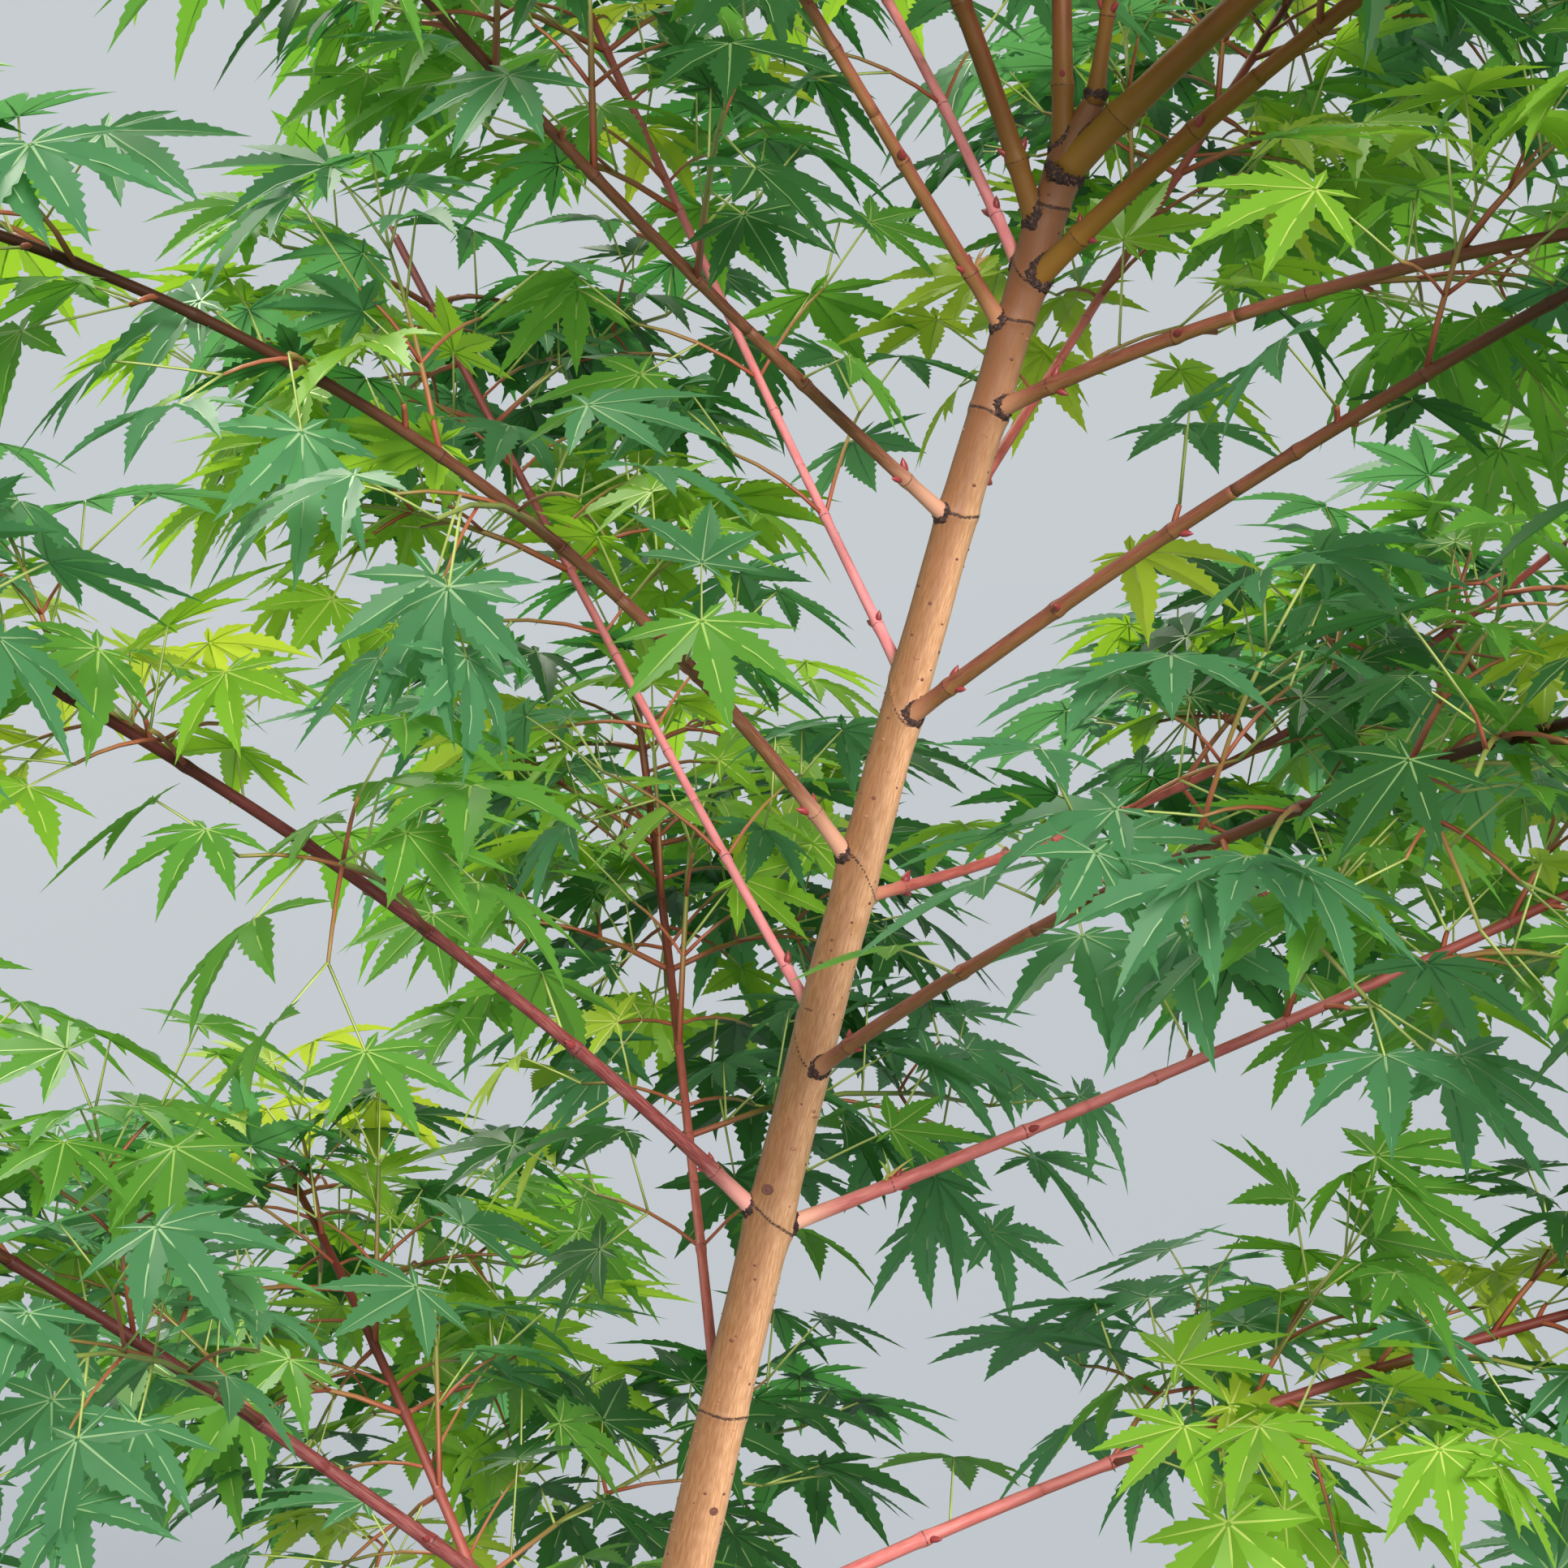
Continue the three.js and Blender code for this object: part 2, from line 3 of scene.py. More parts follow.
import bpy
import numpy as np
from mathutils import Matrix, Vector


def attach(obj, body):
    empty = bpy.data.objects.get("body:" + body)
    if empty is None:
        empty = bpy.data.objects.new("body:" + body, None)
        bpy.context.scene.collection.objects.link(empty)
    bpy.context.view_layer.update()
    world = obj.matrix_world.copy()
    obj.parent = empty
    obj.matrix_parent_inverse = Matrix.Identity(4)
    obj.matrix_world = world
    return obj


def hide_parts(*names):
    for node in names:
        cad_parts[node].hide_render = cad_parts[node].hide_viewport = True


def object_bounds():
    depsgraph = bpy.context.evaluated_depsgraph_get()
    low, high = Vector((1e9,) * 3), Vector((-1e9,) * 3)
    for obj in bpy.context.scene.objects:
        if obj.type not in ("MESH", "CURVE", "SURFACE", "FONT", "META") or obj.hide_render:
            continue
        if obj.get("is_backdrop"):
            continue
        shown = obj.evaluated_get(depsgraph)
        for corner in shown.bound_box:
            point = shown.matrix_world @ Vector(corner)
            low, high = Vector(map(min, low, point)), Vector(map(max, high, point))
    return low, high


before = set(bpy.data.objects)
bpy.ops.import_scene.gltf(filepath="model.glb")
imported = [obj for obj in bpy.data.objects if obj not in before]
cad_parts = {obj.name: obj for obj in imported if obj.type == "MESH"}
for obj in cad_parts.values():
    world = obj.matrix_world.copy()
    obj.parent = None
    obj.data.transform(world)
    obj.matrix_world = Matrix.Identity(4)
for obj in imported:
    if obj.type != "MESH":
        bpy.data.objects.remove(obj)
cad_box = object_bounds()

# A young coral-bark Japanese maple in a plain round clay pot, dressed round its solids.
# Lengths are millimetres, and become metres as each mesh is made.

# Camera
# It stands in front of the upper trunk and a little above the point that it looks at. It takes in half a
# metre of the crown, as the photograph does.
MM = 0.001
CAMERA_AIM = (99, 0, 956)
CAMERA_AWAY = 1500
CAMERA_RISE = math.radians(4)
PICTURE_WIDTH = 521.6

camera = bpy.data.objects.new("camera", bpy.data.cameras.new("camera"))
camera.data.lens = camera.data.sensor_width * CAMERA_AWAY / PICTURE_WIDTH
away = Vector((0, -math.cos(CAMERA_RISE), math.sin(CAMERA_RISE))) * CAMERA_AWAY
camera.location = (Vector(CAMERA_AIM) + away) * MM
camera.rotation_euler = (math.pi / 2 - CAMERA_RISE, 0, 0)
bpy.context.scene.collection.objects.link(camera)
bpy.context.scene.camera = camera

# Studio
# A soft sun stands in front on the right, and a second one behind on the left shines through the leaves. Pale
# surroundings fill the shadows, and the floor is a plain pale sheet.
SUNS = {
    "key": {"from": (0.3, -1.0, 0.45), "spread": 20, "power": 4.5, "colour": (1.0, 0.95, 0.87)},
    "through": {"from": (-0.6, 0.75, 1.0), "spread": 22, "power": 3.8, "colour": (1.0, 0.97, 0.86)},
}
SURROUNDINGS = (0.84, 0.90, 0.94)
SURROUNDINGS_STRENGTH = 0.68
FLOOR_COLOUR = (0.235, 0.2575, 0.2945)
FLOOR_ROUGHNESS = 0.9
FLOOR_HALF = 40000

for name, light in SUNS.items():
    sun = bpy.data.objects.new(name, bpy.data.lights.new(name, "SUN"))
    sun.data.angle = math.radians(light["spread"])
    sun.data.energy = light["power"]
    sun.data.color = light["colour"]
    sun.rotation_euler = Vector(light["from"]).to_track_quat("Z", "Y").to_euler()
    bpy.context.scene.collection.objects.link(sun)

world = bpy.data.worlds.new("surroundings")
world.use_nodes = True
world.node_tree.nodes["Background"].inputs["Color"].default_value = (*SURROUNDINGS, 1)
world.node_tree.nodes["Background"].inputs["Strength"].default_value = SURROUNDINGS_STRENGTH
bpy.context.scene.world = world
bpy.context.scene.view_settings.view_transform = "Standard"


def new_material(name, roughness, colour=(0.8, 0.8, 0.8)):
    """A material with its node tree and its principled shader."""
    material = bpy.data.materials.new(name)
    material.use_nodes = True
    shader = material.node_tree.nodes["Principled BSDF"]
    shader.inputs["Roughness"].default_value = roughness
    shader.inputs["Base Color"].default_value = (*colour, 1)
    material.diffuse_color = (*colour, 1)
    return material, material.node_tree, shader


floor_mesh = bpy.data.meshes.new("floor")
corners = [(x * FLOOR_HALF * MM, y * FLOOR_HALF * MM, 0) for x, y in ((-1, -1), (1, -1), (1, 1), (-1, 1))]
floor_mesh.from_pydata(corners, [], [(0, 1, 2, 3)])
floor_mesh.materials.append(new_material("floor", FLOOR_ROUGHNESS, FLOOR_COLOUR)[0])
floor = bpy.data.objects.new("floor", floor_mesh)
bpy.context.scene.collection.objects.link(floor)
floor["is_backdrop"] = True

# Pot
# A machine-thrown pot of unglazed red clay: a tapering wall with fine throwing lines under a thick rolled
# collar, a flat underside with three drain holes, and pale salts that the water has left on its wall.
POT_HEIGHT = 298
POT_FOOT_RADIUS = 122
POT_RIM_RADIUS = 165
POT_WALL = 11
POT_FLOOR = 14
COLLAR_HEIGHT = 42
COLLAR_PROUD = 9
COLLAR_ROUNDING = 4
COLLAR_BATTER = 1
INNERMOST_RADIUS = 7.75
DRAIN_RADIUS = 6.5
DRAIN_CIRCLE = 62
DRAIN_COUNT = 3
DRAIN_SIDES = 24
POT_SLOPE = (POT_RIM_RADIUS - POT_FOOT_RADIUS) / POT_HEIGHT
POT_COLUMNS = 160
ARC_POINTS = 6
WALL_STEPS = 24
THROWING_LINE_SPACING = 5.2
THROWING_LINE_SHARE = 0.35
SALTS_HEIGHTS = (0.26, 0.05)
DAMP_HEIGHTS = (0.052, 0.026)
CLAY_DARK = (0.36, 0.125, 0.055)
CLAY_PALE = (0.56, 0.235, 0.115)
CLAY_SALTS = (0.62, 0.47, 0.36)
CLAY_DAMP = (0.22, 0.085, 0.045)


def skin_faces(rings, columns):
    """Corner numbers of a closed skin of rings of points, with a point at each end: quads between the rings
    and a fan at each end. Also the share of the way round and along for each corner."""
    ring, column = np.meshgrid(np.arange(rings - 1), np.arange(columns), indexing="ij")
    ring, column = ring.ravel(), column.ravel()
    following = (column + 1) % columns
    quads = np.stack([ring * columns + column, ring * columns + following,
                      (ring + 1) * columns + following, (ring + 1) * columns + column], axis=1)
    quad_round = np.stack([column, column + 1, column + 1, column], axis=1) / columns
    quad_along = np.stack([ring, ring, ring + 1, ring + 1], axis=1) / (rings - 1)
    each = np.arange(columns)
    after = (each + 1) % columns
    last = (rings - 1) * columns
    start, end = rings * columns, rings * columns + 1
    fans = np.concatenate([np.stack([np.full(columns, start), after, each], axis=1),
                           np.stack([np.full(columns, end), last + each, last + after], axis=1)])
    fan_round = np.concatenate([np.stack([each + 0.5, each + 1, each], axis=1),
                                np.stack([each + 0.5, each, each + 1], axis=1)]) / columns
    fan_along = np.repeat([0.0, 1.0], columns)[:, None] * np.ones(3)
    where = np.concatenate([
        np.stack([quad_round.ravel(), quad_along.ravel()], axis=1),
        np.stack([fan_round.ravel(), fan_along.ravel()], axis=1),
    ])
    return [quads, fans], where


def new_piece(name, points, faces, materials, where=None, marks=None, kinds=None, replaced=()):
    """A smooth piece from points in millimetres and arrays of corner numbers. where is its UV map, one pair
    for each corner of each face, marks are named values at its points and kinds each face's material."""
    corners = np.concatenate([face.ravel() for face in faces])
    sizes = np.concatenate([np.full(len(face), face.shape[1]) for face in faces])
    mesh = bpy.data.meshes.new(name)
    mesh.vertices.add(len(points))
    mesh.vertices.foreach_set("co", (np.asarray(points) * MM).astype(np.float32).ravel())
    mesh.loops.add(len(corners))
    mesh.loops.foreach_set("vertex_index", corners.astype(np.int32))
    mesh.polygons.add(len(sizes))
    mesh.polygons.foreach_set("loop_start", (np.cumsum(sizes) - sizes).astype(np.int32))
    mesh.polygons.foreach_set("use_smooth", np.ones(len(sizes), bool))
    for material in materials:
        mesh.materials.append(material)
    if kinds is not None:
        mesh.polygons.foreach_set("material_index", kinds.astype(np.int32))
    mesh.update(calc_edges=True)
    if where is not None:
        mesh.uv_layers.new(name="skin").data.foreach_set("uv", where.astype(np.float32).ravel())
    for mark, values in (marks or {}).items():
        mesh.attributes.new(mark, "FLOAT", "POINT").data.foreach_set("value", values.astype(np.float32))
    piece = bpy.data.objects.new(name, mesh)
    bpy.context.scene.collection.objects.link(piece)
    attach(piece, "root")
    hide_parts(*replaced)
    return piece


def add_node(tree, kind, inputs=None, **settings):
    """A shader node with its settings, and each input filled with a number or linked to an output."""
    node = tree.nodes.new("ShaderNode" + kind)
    for key, value in settings.items():
        setattr(node, key, value)
    for key, value in (inputs or {}).items():
        if isinstance(value, bpy.types.NodeSocket):
            tree.links.new(value, node.inputs[key])
        else:
            node.inputs[key].default_value = value
    return node


def noise(tree, vector, scale, detail=3.0, roughness=0.55):
    """Cloudy values from 0 to 1 at a scale."""
    inputs = {"Vector": vector, "Scale": scale, "Detail": detail, "Roughness": roughness}
    return add_node(tree, "TexNoise", inputs).outputs["Fac"]


def stretched(tree, vector, scale):
    """Coordinates multiplied by a scale for each axis."""
    return add_node(tree, "Mapping", {"Vector": vector, "Scale": scale}).outputs["Vector"]


def ranged(tree, value, low, high, to_low=0.0, to_high=1.0):
    """A value carried smoothly from one range to another, and kept inside it."""
    inputs = {"Value": value, "From Min": low, "From Max": high, "To Min": to_low, "To Max": to_high}
    return add_node(tree, "MapRange", inputs, interpolation_type="SMOOTHSTEP").outputs["Result"]


def computed(tree, operation, first, second):
    """Two values added, multiplied or otherwise joined."""
    return add_node(tree, "Math", {0: first, 1: second}, operation=operation).outputs["Value"]


def blended(tree, share, first, second):
    """Two colours blended by a share."""
    first, second = ((*each, 1) if isinstance(each, tuple) else each for each in (first, second))
    return add_node(tree, "Mix", {0: share, 6: first, 7: second}, data_type="RGBA").outputs[2]


def painted(tree, shader, colour):
    """Gives the shader a colour that changes over the surface."""
    tree.links.new(colour, shader.inputs["Base Color"])


def object_place(tree):
    """The place of a point in the piece, in metres."""
    return add_node(tree, "TexCoord").outputs["Object"]


def relief(tree, shader, height, distance, strength=1.0):
    """Fine relief on a surface, from heights of 0 to 1 over a distance in millimetres."""
    bump = add_node(tree, "Bump", {"Height": height, "Distance": distance * MM, "Strength": strength})
    tree.links.new(bump.outputs["Normal"], shader.inputs["Normal"])


def clay_material():
    """Fired clay: cloudy red-browns, pale salts in bands low on the wall, a damp foot and a sandy grain. The
    salts and the damp fade out between two heights each."""
    material, tree, shader = new_material("fired_clay", 0.88)
    place = object_place(tree)
    height = add_node(tree, "SeparateXYZ", {"Vector": place}).outputs["Z"]
    clouds = noise(tree, stretched(tree, place, (1, 1, 2.5)), scale=14, detail=5)
    grain = noise(tree, place, scale=900, detail=2)
    colour = blended(tree, ranged(tree, clouds, 0.35, 0.68), CLAY_DARK, CLAY_PALE)
    salts = noise(tree, stretched(tree, place, (1, 1, 3)), scale=21, detail=8, roughness=0.7)
    low_down = ranged(tree, height, *SALTS_HEIGHTS, 0.12, 0.8)
    banked = computed(tree, "MULTIPLY", ranged(tree, salts, 0.54, 0.74), low_down)
    colour = blended(tree, banked, colour, CLAY_SALTS)
    damp = computed(tree, "ADD", height, computed(tree, "MULTIPLY", clouds, 0.05))
    colour = blended(tree, ranged(tree, damp, *DAMP_HEIGHTS, 0, 0.75), colour, CLAY_DAMP)
    painted(tree, shader, blended(tree, ranged(tree, grain, 0.55, 0.8, 0, 0.35), colour, CLAY_DARK))
    turned = computed(tree, "MULTIPLY", height, 2 * math.pi / (THROWING_LINE_SPACING * MM))
    lines = computed(tree, "MULTIPLY", computed(tree, "SINE", turned, 0.0), THROWING_LINE_SHARE)
    relief(tree, shader, computed(tree, "ADD", grain, lines), distance=0.35, strength=0.6)
    return material


def turns_round(count):
    """Even turns round an axis, in radians from 0."""
    return 2 * np.pi * np.arange(count) / count


def inner_radius(height):
    """The radius of the pot's inside at a height: that of its straight taper, less the wall."""
    return POT_FOOT_RADIUS + POT_SLOPE * height - POT_WALL


def quarter_round(radius, height, start, end):
    """Points of a section on a quarter circle about a middle, between two angles in degrees."""
    turns = np.radians(np.linspace(start, end, ARC_POINTS))
    return np.stack([radius + COLLAR_ROUNDING * np.cos(turns), height + COLLAR_ROUNDING * np.sin(turns)], 1)


def pot_profile():
    """The pot's section from the middle of its underside, up its wall and collar and down its inside. The
    edges of its foot, its collar and its rim are quarter rounds."""
    collar_foot = POT_HEIGHT - COLLAR_HEIGHT
    collar_middle = POT_RIM_RADIUS + COLLAR_PROUD - COLLAR_ROUNDING
    rim_middle = POT_HEIGHT - COLLAR_ROUNDING
    heights = np.linspace(COLLAR_ROUNDING, collar_foot, WALL_STEPS)
    wall = np.stack([POT_FOOT_RADIUS + POT_SLOPE * heights, heights], axis=1)
    return np.concatenate([
        [(INNERMOST_RADIUS, 0), (DRAIN_CIRCLE, 0)],
        quarter_round(POT_FOOT_RADIUS - COLLAR_ROUNDING, COLLAR_ROUNDING, -90, 0),
        wall[1:],
        [(collar_middle - COLLAR_BATTER, collar_foot)],
        quarter_round(collar_middle - COLLAR_BATTER, collar_foot + COLLAR_ROUNDING, -90, 0),
        quarter_round(collar_middle, rim_middle, 0, 90),
        quarter_round(POT_RIM_RADIUS - POT_WALL + COLLAR_ROUNDING, rim_middle, 90, 180),
        [(inner_radius(POT_FLOOR), POT_FLOOR), (DRAIN_CIRCLE, POT_FLOOR), (INNERMOST_RADIUS, POT_FLOOR)],
    ])


def revolved(profile, columns):
    """The points of a profile carried round the upright axis, ring by ring, and an axis point at each end."""
    turns = turns_round(columns)
    level = profile[:, None, :1] * np.stack([np.cos(turns), np.sin(turns)], axis=1)
    rings = np.concatenate([level, np.repeat(profile[:, None, 1:], columns, axis=1)], axis=2)
    ends = [(0, 0, profile[0, 1]), (0, 0, profile[-1, 1])]
    return np.concatenate([rings.reshape(-1, 3), ends])


profile = pot_profile()
pot_faces, pot_where = skin_faces(len(profile), POT_COLUMNS)
pot = new_piece("clay_pot", revolved(profile, POT_COLUMNS), pot_faces, [clay_material()],
                where=pot_where, replaced=["pot"])
for turn in turns_round(DRAIN_COUNT):
    place = Vector((DRAIN_CIRCLE * math.cos(turn), DRAIN_CIRCLE * math.sin(turn), 0)) * MM
    bpy.ops.mesh.primitive_cylinder_add(vertices=DRAIN_SIDES, radius=DRAIN_RADIUS * MM,
                                        depth=3 * POT_FLOOR * MM, location=place)
    drill = bpy.context.object
    cut = pot.modifiers.new("drain", "BOOLEAN")
    cut.object = drill
    cut.solver = "EXACT"
    with bpy.context.temp_override(object=pot, active_object=pot, selected_objects=[pot]):
        bpy.ops.object.modifier_apply(modifier=cut.name)
    bpy.data.objects.remove(drill)

# Soil
# A dark potting mix of bark and peat fills the pot to a little below its rim. Its top is lumpy, and coarse
# crumbs of bark lie on it.
SOIL_LEVEL = 275
CLEARANCE = 0.3
SOIL_MIDDLE_RADIUS = 2
SOIL_MIDDLE_SHARE = 0.01
SOIL_RINGS = 70
SOIL_COLUMNS = 200
SOIL_RELIEF = 5
WAVES_LOWERED = 0.5
WAVES_SHARE = 0.3
WAVE_SHIFT = 3
WAVE_BREADTH = 0.8
SOIL_MOUND = 7.5
SOIL_MOUND_REACH = 40
SOIL_DARK = (0.018, 0.011, 0.007)
SOIL_PALE = (0.075, 0.045, 0.028)
CRUMB_COUNT = 900
CRUMB_SEED = 5
CRUMB_SIZES = (1.6, 5.5)
CRUMB_SHAPES = ((0.8, 0.45, 0.25), (1.3, 0.8, 0.45))
CRUMB_BUMPS = 0.25
CRUMB_OFF_WALL = 6
CRUMB_SPREAD = (0.02, 1)
CRUMB_STREAK_SHADE = 0.45
CRUMB_COLOURS = [(0.10, 0.055, 0.032), (0.045, 0.026, 0.017), (0.17, 0.105, 0.065)]

# Each wave of the soil's top: its length, the way it runs in radians and its share of the relief
SOIL_WAVES = [(61, 0.3, 0.4), (37, 1.4, 0.3), (23, 2.5, 0.2), (13, 0.9, 0.18), (8, 2.0, 0.14), (5, 1.1, 0.1)]


def soil_height(x, y):
    """Lumps on the soil: waves of several lengths and directions below the level of its top, and a low mound
    that covers the foot of the trunk."""
    height = np.zeros(np.shape(x))
    for length, heading, share in SOIL_WAVES:
        along = x * math.cos(heading) + y * math.sin(heading)
        across = y * math.cos(heading) - x * math.sin(heading)
        wave = share * np.sin(2 * np.pi * along / length + WAVE_SHIFT * share)
        height += wave * np.cos(2 * np.pi * across / (WAVE_BREADTH * length))
    mound = SOIL_MOUND * np.exp(-(x ** 2 + y ** 2) / SOIL_MOUND_REACH ** 2)
    return SOIL_LEVEL - SOIL_RELIEF * (WAVES_LOWERED - WAVES_SHARE * height) + mound


def soil_material():
    """Damp crumbs of peat: near-black browns at two scales, with a rough relief."""
    material, tree, shader = new_material("potting_soil", 0.95)
    lumps = noise(tree, object_place(tree), scale=160, detail=8, roughness=0.7)
    painted(tree, shader, blended(tree, ranged(tree, lumps, 0.4, 0.7), SOIL_DARK, SOIL_PALE))
    relief(tree, shader, lumps, distance=2.5)
    return material


soil_foot = POT_FLOOR + CLEARANCE
foot_radius = inner_radius(soil_foot) - CLEARANCE
soil_radius = inner_radius(SOIL_LEVEL) - CLEARANCE
reach = np.linspace(1, SOIL_MIDDLE_SHARE, SOIL_RINGS)
soil_top = np.stack([soil_radius * reach, np.full(SOIL_RINGS, SOIL_LEVEL)], axis=1)
soil_bottom = [(SOIL_MIDDLE_RADIUS, soil_foot), (foot_radius, soil_foot)]
soil_profile = np.concatenate([soil_bottom, soil_top])
soil_points = revolved(soil_profile, SOIL_COLUMNS)
top = soil_points[:, 2] == SOIL_LEVEL
soil_points[top, 2] = soil_height(soil_points[top, 0], soil_points[top, 1])
soil_faces, soil_where = skin_faces(len(soil_profile), SOIL_COLUMNS)
new_piece("potting_soil", soil_points, soil_faces, [soil_material()], where=soil_where,
          replaced=["soil"])


def repeated(faces, step, count):
    """The faces of many copies of a shape: each copy's corner numbers are a step above the last one's."""
    return (faces + (step * np.arange(count))[:, None, None]).reshape(-1, faces.shape[1])


def scattered_crumbs():
    """Crumbs as eight-sided lumps, each with its own length, breadth, height and turn, half sunk in the
    soil."""
    random = np.random.default_rng(CRUMB_SEED)
    lump = np.array([(1, 0, 0), (0, 1, 0), (-1, 0, 0), (0, -1, 0), (0, 0, 1), (0, 0, -1)], float)
    sides = np.array([(0, 1, 4), (1, 2, 4), (2, 3, 4), (3, 0, 4), (1, 0, 5), (2, 1, 5), (3, 2, 5), (0, 3, 5)])
    out = (soil_radius - CRUMB_OFF_WALL) * np.sqrt(random.uniform(*CRUMB_SPREAD, CRUMB_COUNT))
    turn = random.uniform(0, 2 * np.pi, CRUMB_COUNT)
    x, y = out * np.cos(turn), out * np.sin(turn)
    sizes = random.uniform(*CRUMB_SIZES, CRUMB_COUNT)[:, None]
    sizes = sizes * random.uniform(*CRUMB_SHAPES, (CRUMB_COUNT, 3))
    heading = random.uniform(0, np.pi, CRUMB_COUNT)[:, None]
    bumpy = lump + random.uniform(-CRUMB_BUMPS, CRUMB_BUMPS, (CRUMB_COUNT, 6, 3))
    long, broad, high = np.moveaxis(bumpy * sizes[:, None], 2, 0)
    points = np.stack([
        x[:, None] + long * np.cos(heading) - broad * np.sin(heading),
        y[:, None] + long * np.sin(heading) + broad * np.cos(heading),
        soil_height(x, y)[:, None] + high,
    ], axis=2)
    kinds = np.repeat(random.integers(0, len(CRUMB_COLOURS), CRUMB_COUNT), len(sides))
    return points.reshape(-1, 3), repeated(sides, len(lump), CRUMB_COUNT), kinds


def crumb_material(number, colour):
    """Bark crumbs of one shade, with streaks along them."""
    material, tree, shader = new_material(f"bark_crumb_{number}", 0.9, colour)
    streaks = noise(tree, object_place(tree), scale=420, detail=4)
    darker = tuple(CRUMB_STREAK_SHADE * share for share in colour)
    painted(tree, shader, blended(tree, ranged(tree, streaks, 0.4, 0.65), darker, colour))
    relief(tree, shader, streaks, distance=0.6)
    return material


crumb_points, crumb_faces, crumb_kinds = scattered_crumbs()
crumb_materials = [crumb_material(number, colour) for number, colour in enumerate(CRUMB_COLOURS)]
new_piece("bark_crumbs", crumb_points, [crumb_faces], crumb_materials, kinds=crumb_kinds)

# Trunk
# One leaning stem of smooth young bark, apricot tan with fine fibres. Thin dark rings mark where each year's
# pairs of buds stood, and the bark swells a little under each bough.
TRUNK_LENGTH = 888
TRUNK_LEAN = 11.6
TRUNK_LEAN_GROWTH = 110
TRUNK_EXTRA_LEAN = 6
TRUNK_FOOT_RADIUS = 11.5
TRUNK_MIDDLE_RADIUS = 8.4
TRUNK_MIDDLE = 420
TRUNK_TIP_RADIUS = 5.8
FLARE = 9
FLARE_HEIGHT = 24
FLARE_RIDGES = 5
FLARE_RIDGE_DEPTH = 0.3
STUB_LENGTH = 18
STUB_LEAN = 10
STUB_TIP_RADIUS = 3.2
TRUNK_TOP = TRUNK_LENGTH + STUB_LENGTH
TRUNK_WAVER = 0.12
WAVER_LENGTHS = (19, 7.3)
LINE_STEP = 5
TRUNK_COLUMNS = 52
TRUNK_RING_STEP = 3.2
RING_REACH = 3
RING_STEP = 0.6
RING_RISE = 0.45
RING_WIDTH = 1.6
RING_GROOVE = 0.5
RING_GAP = -1.2
RING_WAVERS = (0.7, 0.4)
FAR_FROM_RING = 30.0
RING_RAGGED = 2.4
RING_EDGE = (1.3, 0.95)
RING_DARKEST = 0.9
KNEE_RISE = 1.1
KNEE_REACH = (5.5, 7)
KNEE_ABOVE = 2
TRUNK_GIRTH = 52

# Each bough: its name, its height up the trunk, its compass heading (0 is right, 90 is back) and how far
# that turns in each 100 mm, its rise above level and how far that bends in each 100 mm, the radius at its
# foot, its bare length, the length of its foliage's stem and the length of the foliage's longest shoots
BOUGH_SIZES = ["name", "up", "heading", "turn", "rise", "bend", "radius", "bare", "leafy", "shoot"]
BOUGHS = [
    ["01_left", 215, 192, 0, 36, -4, 3.2, 150, 330, 150],
    ["01_right", 215, 8, 0, 30, -4, 3.2, 150, 330, 150],
    ["02_front", 291, -78, -1, 20, -2, 2.8, 140, 290, 140],
    ["02_back", 291, 112, 0, 34, -3, 2.8, 140, 320, 160],
    ["03_left", 367, 188, 0, 40, -2.5, 3, 140, 320, 140],
    ["03_right", 385, 12, 0, 24, -3.5, 2.8, 140, 330, 140],
    ["04_back", 464, 96, 0, 35, -2, 2, 120, 320, 160],
    ["05_left", 533, 200, 1.5, 45, -5, 2.6, 130, 320, 130],
    ["05_right", 530, 15, 1.5, 18, 1, 2.6, 120, 330, 130],
    ["06_front_right", 582, -52, 0.5, 30, -4.5, 2.6, 130, 300, 120],
    ["06_back_left", 600, 120, -0.5, 39, 0, 1.9, 110, 330, 150],
    ["07_left", 651, 212, -2, 52, -9.5, 2.6, 130, 320, 120],
    ["07_back_right", 642, 50, -1.5, 4, 5, 2.1, 110, 330, 140],
    ["08_right", 700, -45, 2.5, 31, -2, 2.8, 160, 290, 120],
    ["08_back_left", 713, 122, -1, 47, 0, 1.9, 100, 310, 140],
    ["09_left", 767, 222, -1, 33, 2.5, 2.4, 110, 320, 120],
    ["09_back_right", 767, 62, 0, 34, 0, 2, 100, 320, 140],
    ["10_right", 803, -38, 4, 21, -6, 2.7, 100, 300, 110],
    ["11_left", 828, 215, -1, 52, 0.5, 2.6, 90, 320, 110],
    ["12_right", 844, -35, -1.5, 40, -6, 3.8, 110, 330, 120],
    ["12_back_left", 846, 134, 3, 60, -5, 2.1, 90, 320, 130],
    ["13_left", 861, 205, -4, 71, -5, 3.6, 110, 340, 130],
    ["14_right", 882, -22, 5, 43, -3, 5.2, 130, 380, 130],
    ["14_up", 884, 100, 0, 89, -7, 3.6, 130, 340, 130],
]
LEADER = ["15_top", TRUNK_TOP, -40, 0, 80, -3, 2.4, 120, 350, 130]
LEADER_LIFT = 1

# Painted shade and light on the trunk: its tans and pink are darkened as painted shade, and one side has
# paler tans as painted light, centred on a share of the way round
PAINTED_SHADE_TAN = (0.265, 0.115, 0.047)
PAINTED_SHADE_PALE = (0.36, 0.178, 0.089)
PAINTED_SHADE_PINK = (0.33, 0.125, 0.062)
PAINTED_LIGHT_TAN = (0.56, 0.28, 0.14)
PAINTED_LIGHT_PALE = (0.78, 0.45, 0.27)
PAINTED_LIGHT_TURN = 0.77
# Painted shade over the top of the trunk, where the crown would shade it
PAINTED_TOP_SHADE = (0.21, 0.078, 0.034)
BARK_OLD = (0.31, 0.165, 0.088)
BARK_RING = (0.030, 0.014, 0.016)


